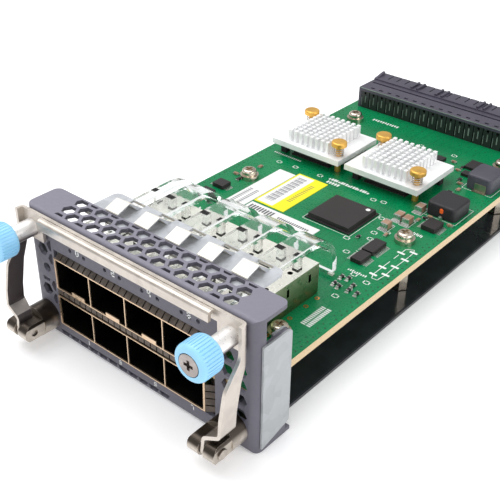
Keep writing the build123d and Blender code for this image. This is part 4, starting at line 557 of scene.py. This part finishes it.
# Solder ends and tinned leads of the chips on the board
LOGIC = ((28.2, 77.2, 4.0, 7.8), (28.4, 69.6, 3.8, 5.8), (-34.6, 76.4, 4.6, 4.4), (-34.6, 68.6, 4.6, 4.4),
         (35.2, 100.2, 4.9, 6.0))
leads = Build()
pads = Build()
for x, y, width, depth in LOGIC:
    count = int(depth / 0.65) - 1
    for i in range(count):
        lead_y = y + (i - (count - 1) / 2) * 0.65
        for side in (-1, 1):
            near, far = x + side * (width / 2 + 0.04), x + side * (width / 2 + 1.14)
            leads.box(min(near, far), max(near, far), lead_y - 0.17, lead_y + 0.17, BOARD, BOARD + 0.30)
            pad_far = x + side * (width / 2 + 1.7)
            pads.box(min(near, pad_far), max(near, pad_far), lead_y - 0.21, lead_y + 0.21,
                     BOARD, BOARD + 0.05)
leads.done("chip_leads", "tin", ROOT)
pads.done("chip_pads", "tin", ROOT)

CAPACITORS = ((24.2, 98.0), (27.6, 97.6), (23.9, 90.6), (26.6, 107.2))
RESISTORS = ((29.8, 57.7), (31.8, 58.3), (30.1, 53.6), (32.0, 53.1), (35.0, 56.0), (35.3, 53.4), (38.1, 53.4))
ends = Build()
for x, y in CAPACITORS:
    for side in (-1, 1):
        ends.box(x - 1.29, x + 1.29, y + side * 1.64 - 0.3 - 0.15 * side, y + side * 1.64 + 0.3 - 0.15 * side,
                 BOARD, BOARD + 2.34, 0.08)
        ends.box(x - 1.5, x + 1.5, y + side * 2.1 - 0.5, y + side * 2.1 + 0.5, BOARD, BOARD + 0.35, 0.1)
for x, y in RESISTORS:
    for side in (-1, 1):
        ends.box(x - 0.48, x + 0.48, y + side * 0.72 - 0.2, y + side * 0.72 + 0.2, BOARD, BOARD + 0.84, 0.06)
        ends.box(x - 0.6, x + 0.6, y + side * 1.05 - 0.35, y + side * 1.05 + 0.35, BOARD, BOARD + 0.12)
ends.done("part_solder_ends", "tin", ROOT)

# Small surface-mounted parts near the coils, the heat sinks and the rear chips
SMALL = ((30.6, 103.6, 1.6, 0.9), (31.4, 105.4, 1.6, 0.9), (29.4, 101.2, 0.9, 1.6), (29.9, 108.6, 0.9, 1.7),
         (27.8, 119.0, 1.0, 1.8), (29.2, 121.6, 1.0, 1.8), (27.6, 124.8, 1.7, 0.9), (29.0, 128.2, 1.0, 1.7),
         (21.6, 141.2, 1.6, 0.9), (21.8, 144.0, 0.9, 1.6), (30.4, 145.8, 1.7, 0.9), (30.6, 149.4, 0.9, 1.7),
         (16.6, 141.6, 0.9, 1.6), (17.2, 146.0, 1.6, 0.9), (27.2, 132.6, 1.8, 1.0), (25.6, 135.2, 1.0, 1.7),
         (39.0, 104.8, 1.7, 0.9), (26.6, 86.4, 0.9, 1.6), (20.6, 79.6, 0.9, 1.5), (-37.6, 58.4, 1.0, 1.8),
         (-34.8, 58.0, 1.0, 1.8), (-33.0, 83.6, 1.0, 1.8), (-36.4, 86.2, 1.8, 1.0), (-33.4, 96.0, 1.0, 1.7))
bodies_tan = Build()
bodies_dark = Build()
small_ends = Build()
for index, (x, y, width, depth) in enumerate(SMALL):
    body = bodies_tan if index % 3 else bodies_dark
    body.box(x - width / 2, x + width / 2, y - depth / 2, y + depth / 2, BOARD, BOARD + 0.75, 0.05)
    long_x = width > depth
    for side in (-1, 1):
        ex = x + side * width / 2 if long_x else x
        ey = y if long_x else y + side * depth / 2
        half_x, half_y = (0.3, depth / 2 + 0.12) if long_x else (width / 2 + 0.12, 0.3)
        small_ends.box(ex - half_x, ex + half_x, ey - half_y, ey + half_y, BOARD, BOARD + 0.55, 0.05)
bodies_tan.done("small_capacitors", "ceramic", ROOT)
bodies_dark.done("small_resistors", "chip", ROOT)
small_ends.done("small_part_ends", "tin", ROOT)

# White pads joined by thin lines near the right edge, and outlines round the parts
PADS = ((35.8, 80.8), (38.7, 83.4), (38.8, 78.2), (35.8, 70.4), (38.6, 72.9), (35.8, 65.4), (38.8, 67.5))
screen = Build()
for x, y in PADS:
    screen.box(x - 1.3, x + 1.3, y - 0.42, y + 0.42, BOARD, BOARD + 0.04)
for track in (((35.8, 80.8), (35.8, 83.6), (38.0, 85.0), (38.7, 83.4)),
              ((38.8, 78.2), (38.8, 80.6), (38.7, 83.4)),
              ((38.8, 78.2), (38.7, 72.9)), ((35.8, 79.4), (35.8, 76.8)), ((35.8, 74.4), (35.8, 70.4)),
              ((35.8, 70.4), (35.8, 65.4)), ((38.6, 72.9), (38.8, 67.5)),
              ((35.8, 65.4), (36.6, 63.4), (38.4, 63.6), (38.8, 67.5))):
    screen.strip(track, 0.22, BOARD, 0.03)


def outline(x, y, width, depth, wide=0.16):
    """A printed frame round a part."""
    x0, x1, y0, y1 = x - width / 2, x + width / 2, y - depth / 2, y + depth / 2
    screen.strip(((x0, y0), (x1, y0), (x1, y1), (x0, y1), (x0, y0)), wide, BOARD, 0.03)


outline(8.9, 87.2, 18.6, 18.6)
outline(33.9, 112.6, 12.4, 12.4)
outline(34.3, 137.4, 11.2, 12.6)
for x, y, width, depth in LOGIC[:4]:
    screen.box(x - width / 2 - 1.9, x - width / 2 - 0.6, y + depth / 2 + 0.1, y + depth / 2 + 0.4,
               BOARD, PRINT_TOP)
for x, y in CAPACITORS:
    outline(x, y, 3.5, 5.4)
for x, y in ((26.0, 88.2), (22.8, 85.4), (24.0, 81.4), (22.6, 70.4), (33.8, 49.0), (31.6, 61.6), (36.8, 60.4),
             (-13.4, 105.2), (10.6, 103.2), (14.2, 104.0), (18.0, 77.0), (19.6, 94.6),
             (-24.0, 104.6), (-31.0, 104.0), (-33.2, 62.6), (6.0, 148.8), (0.8, 150.2), (14.6, 151.0)):
    for dx, dy, w, d in ((-0.9, 0.0, 0.3, 1.3), (0.9, 0.0, 0.3, 1.3),
                         (0.0, 0.75, 1.2, 0.25), (0.0, -0.75, 1.2, 0.25)):
        screen.box(x + dx - w / 2, x + dx + w / 2, y + dy - d / 2, y + dy + d / 2, BOARD, PRINT_TOP)
for i in range(9):
    screen.box(30.4 + i * 0.62, 30.75 + i * 0.62, 92.6 + (i % 2) * 0.3, 93.9 + (i % 2) * 0.3,
               BOARD, PRINT_TOP)
    screen.box(28.6 + i * 0.75, 29.0 + i * 0.75, 62.4, 62.4 + 0.7 + (i % 3) * 0.2, BOARD, PRINT_TOP)
for i in range(14):
    screen.box(-37.6 + i * 0.9, -37.1 + i * 0.9, 109.0, 109.9, BOARD, PRINT_TOP)
for i in range(17):
    tall = 1.5 if i % 4 else 1.0
    screen.box(-9.6 + i * 1.0, -9.0 + i * 1.0 + 0.12 * (i % 3), 105.0, 105.0 + tall, BOARD, PRINT_TOP)
for i in range(5):
    screen.box(-9.0 + i * 1.1, -8.3 + i * 1.1, 102.6, 104.2, BOARD, PRINT_TOP)
for i in range(11):
    screen.box(-26.2 + i * 1.1, -25.6 + i * 1.1, 157.4 + 0.3 * (i % 2), 159.0, BOARD, PRINT_TOP)
screen.done("board_print", "screen", ROOT)

# Comb of contact pads at the right of the cage
comb = Build()
for i in range(13):
    y = 32.6 + i * 0.8
    comb.box(34.0, 35.5, y - 0.2, y + 0.2, BOARD, BOARD + 0.05)
    comb.box(35.9, 37.3, y - 0.24, y + 0.24, BOARD, BOARD + 0.05)
comb.done("comb_pads", "screen", ROOT)

# Copper rings at the right of the cage and via dots along the edges
rings = Build()
for y in (21.8, 32.0, 39.4, 44.6):
    rings.disc(30.6, y, BOARD, 0.75, 0.05, 0.36)
rings.done("ring_pads", "copper", ROOT)
vias = Build()
for i in range(56):
    y = 14.0 + i * 2.6
    vias.disc(40.6, y, BOARD, 0.26, 0.03, sides=12)
    vias.disc(-40.6, y + 3.0, BOARD, 0.26, 0.03, sides=12)
    if i % 3:
        vias.disc(39.1, y + 1.3, BOARD, 0.22, 0.03, sides=12)
for i in range(15):
    for j in range(3):
        vias.disc(-16.0 + i * 2.2 + (j % 2) * 0.9, 53.6 + j * 3.9 + (i % 4) * 0.7, BOARD, 0.2, 0.03, sides=10)
for i in range(22):
    vias.disc(-36.0 + i * 3.4, 160.2 + (i % 2) * 1.1, BOARD, 0.24, 0.03, sides=10)
vias.done("via_dots", "hole", ROOT)

# Copper tracks under the mask
tracks = Build()
for i in range(9):
    x = -22.0 + i * 4.6
    end = 0.6 + i * 1.9
    tracks.strip(((x, 49.0), (x, 55.0 + i * 0.7), (x + (end - x) * 0.45, 60.0 + i * 0.9),
                  (end, 67.0 + i * 0.4),
                  (end, 78.0)), TRACK_WIDTH, BOARD, TRACK_HEIGHT)
for i in range(6):
    tracks.strip(((18.0, 80.0 + i * 1.6), (21.0 + i * 0.5, 77.0 + i * 1.2), (22.4 + i * 0.5, 66.0 + i),
                  (25.5, 62.0 + i * 0.8)), 0.26, BOARD, 0.025)
    tracks.strip(((-6.0 + i * 1.4, 97.0), (-10.0 + i * 1.4, 101.5), (-14.0 + i * 1.5, 106.8)),
                 TRACK_WIDTH, BOARD, TRACK_HEIGHT)
    tracks.strip(((12.0 + i * 1.2, 97.2), (14.0 + i * 1.2, 101.0), (12.0 + i * 1.0, 107.6)),
                 TRACK_WIDTH, BOARD, TRACK_HEIGHT)
    tracks.strip(((-26.0 + i * 3.0, 133.4), (-24.0 + i * 3.2, 142.0 + i * 0.8), (-20.0 + i * 3.6, 150.0),
                  (-20.0 + i * 3.6, 165.0)), 0.34, BOARD, 0.025)
    tracks.strip(((4.0 + i * 2.6, 133.4), (2.0 + i * 2.8, 146.0),
                  (3.0 + i * 3.4, 156.0), (3.0 + i * 3.4, 165.0)),
                 0.34, BOARD, 0.025)
tracks.done("board_tracks", "trace", ROOT)

# White dot on the main chip, orange mark and solder blob at the front coil
dot = Build()
dot.disc(14.9, 93.4, BOARD + 1.9, 0.8, 0.02)
dot.done("main_chip_dot", "screen", ROOT)
mark = Build()
mark.box(33.6, 34.9, 106.9, 107.6, BOARD + 1.9, BOARD + 3.7, 0.25)
mark.done("coil_mark", "orange", ROOT)
blob = Build()
blob.box(33.8, 35.2, 105.9, 107.1, BOARD, BOARD + 1.4, 0.4)
blob.done("coil_solder", "tin", ROOT)
terminal = Build()
terminal.box(33.0, 37.4, 131.66, 131.95, BOARD + 0.1, BOARD + 3.0, 0.12)
terminal.box(32.6, 37.8, 130.7, 131.8, BOARD, BOARD + 0.3, 0.1)
terminal.done("rear_coil_terminal", "pale_tin", ROOT)

# Pale contacts on the wafers, and a pale strip along the front edge of the connector's cover as a painted
# highlight
contacts = Build()
for i in range(19):
    x = 3.95 * (i - 9)
    contacts.box(x - 0.28, x + 0.28, 165.62, 165.78, 20.9, 24.0)
    contacts.box(x - 1.62, x - 1.42, 165.36, 165.44, 19.6, 23.2)
contacts.done("wafer_contacts", "pale", ROOT)
rim = Build()
rim.box(-38.6, 38.6, 165.36, 165.50, 26.98, 27.22)
rim.done("cover_edge_highlight", "pale", ROOT)

# Port numbers on the faceplate, drawn with seven strokes
STROKES = {"0": "abcdef", "1": "bc", "2": "abged", "3": "abgcd",
           "4": "fgbc", "5": "afgcd", "6": "afgedc", "7": "abc"}


def digit(builder, figure, x, z, height, wide, stroke):
    """One figure on the front plane, its middle at x and z."""
    half, edge, thick = height / 2, wide / 2, stroke / 2
    bars = {"a": (-edge, edge, half - stroke, half), "g": (-edge, edge, -thick, thick),
            "d": (-edge, edge, -half, -half + stroke), "f": (-edge, -edge + stroke, 0, half),
            "b": (edge - stroke, edge, 0, half), "e": (-edge, -edge + stroke, -half, 0),
            "c": (edge - stroke, edge, -half, 0)}
    for name in STROKES[figure]:
        x0, x1, z0, z1 = bars[name]
        builder.box(x + x0, x + x1, -LIFT, 0.01, z + z0, z + z1)


numbers = Build()
for figure, x in zip("0246", (-19.2, -4.8, 8.9, 23.1)):
    digit(numbers, figure, x + 0.2, 34.3, 2.1, 1.4, 0.40)
for figure, x in zip("1357", (-18.2, -4.4, 9.6, 23.6)):
    digit(numbers, figure, x, 3.9, 1.5, 1.1, 0.3)
numbers.done("port_numbers", "screen", ROOT)

# Camera at the photograph's angle
camera_data = bpy.data.cameras.new("camera")
camera = bpy.data.objects.new("camera", camera_data)
bpy.context.collection.objects.link(camera)
right = Vector((0.76094, 0.64873, 0.01084))
up = Vector((-0.35687, 0.40452, 0.84202))
forward = Vector((-0.54186, 0.64460, -0.53933))
turn = Matrix((right, up, -forward)).transposed().to_4x4()
camera.matrix_world = Matrix.Translation((0.148917, -0.126131, 0.167312)) @ turn
camera_data.sensor_width = 36.0
camera_data.lens = 64.19
camera_data.clip_start = 0.01
bpy.context.scene.camera = camera
bpy.context.scene.view_settings.view_transform = "Standard"

# Floor, backdrop and lights
floor_mesh = bpy.data.meshes.new("floor")
floor_mesh.from_pydata([(-3, -3, 0), (3, -3, 0), (3, 3, 0), (-3, 3, 0)], [], [(0, 1, 2, 3)])
floor = bpy.data.objects.new("floor", floor_mesh)
floor.location.z = -0.0001
bpy.context.collection.objects.link(floor)
floor_mat = bpy.data.materials.new("floor_white")
floor_mat.use_nodes = True
tree = floor_mat.node_tree
tree.nodes.clear()
output = tree.nodes.new("ShaderNodeOutputMaterial")
matte = tree.nodes.new("ShaderNodeBsdfDiffuse")
matte.inputs["Color"].default_value = (0.90, 0.90, 0.91, 1)
glow = tree.nodes.new("ShaderNodeEmission")
glow.inputs["Color"].default_value = (1, 1, 1, 1)
path = tree.nodes.new("ShaderNodeLightPath")
seen = tree.nodes.new("ShaderNodeMath")
seen.operation = "MAXIMUM"
seen_far = tree.nodes.new("ShaderNodeMath")
seen_far.operation = "MAXIMUM"
tree.links.new(path.outputs["Is Camera Ray"], seen.inputs[0])
tree.links.new(path.outputs["Is Glossy Ray"], seen.inputs[1])
tree.links.new(seen.outputs[0], seen_far.inputs[0])
tree.links.new(path.outputs["Is Transmission Ray"], seen_far.inputs[1])
share = tree.nodes.new("ShaderNodeMath")
share.operation = "MULTIPLY"
share.inputs[1].default_value = 0.24
tree.links.new(seen_far.outputs[0], share.inputs[0])
tree.links.new(share.outputs[0], glow.inputs["Strength"])
both = tree.nodes.new("ShaderNodeAddShader")
tree.links.new(matte.outputs[0], both.inputs[0])
tree.links.new(glow.outputs[0], both.inputs[1])
tree.links.new(both.outputs[0], output.inputs["Surface"])
floor_mesh.materials.append(floor_mat)

world = bpy.data.worlds.new("studio")
bpy.context.scene.world = world
world.use_nodes = True
sky = world.node_tree
sky.nodes.clear()
sky_out = sky.nodes.new("ShaderNodeOutputWorld")
sky_light = sky.nodes.new("ShaderNodeBackground")
sky_light.inputs["Color"].default_value = (1.0, 1.0, 1.0, 1)
sky_light.inputs["Strength"].default_value = 0.55
sky_seen = sky.nodes.new("ShaderNodeBackground")
sky_seen.inputs["Color"].default_value = (1, 1, 1, 1)
sky_seen.inputs["Strength"].default_value = 1.0
sky_path = sky.nodes.new("ShaderNodeLightPath")
sky_mix = sky.nodes.new("ShaderNodeMixShader")
sky_max = sky.nodes.new("ShaderNodeMath")
sky_max.operation = "MAXIMUM"
sky.links.new(sky_path.outputs["Is Camera Ray"], sky_max.inputs[0])
sky.links.new(sky_path.outputs["Is Transmission Ray"], sky_max.inputs[1])
sky.links.new(sky_max.outputs[0], sky_mix.inputs["Fac"])
sky.links.new(sky_light.outputs[0], sky_mix.inputs[1])
sky.links.new(sky_seen.outputs[0], sky_mix.inputs[2])
sky.links.new(sky_mix.outputs[0], sky_out.inputs["Surface"])


def softbox(name, place, target, size, power):
    data = bpy.data.lights.new(name, "AREA")
    data.shape = "RECTANGLE"
    data.size, data.size_y = size
    data.energy = power
    lamp = bpy.data.objects.new(name, data)
    lamp.location = place
    lamp.rotation_euler = (Vector(target) - Vector(place)).to_track_quat("-Z", "Y").to_euler()
    bpy.context.collection.objects.link(lamp)


softbox("key_light", (-0.30, 0.05, 0.85), (0, 0.08, 0), (0.9, 0.9), 7.0)
softbox("front_light", (0.25, -0.9, 0.35), (0, 0, 0.02), (0.7, 0.4), 2.0)
softbox("side_light", (0.9, 0.1, 0.35), (0, 0.05, 0.02), (0.6, 0.5), 3.0)
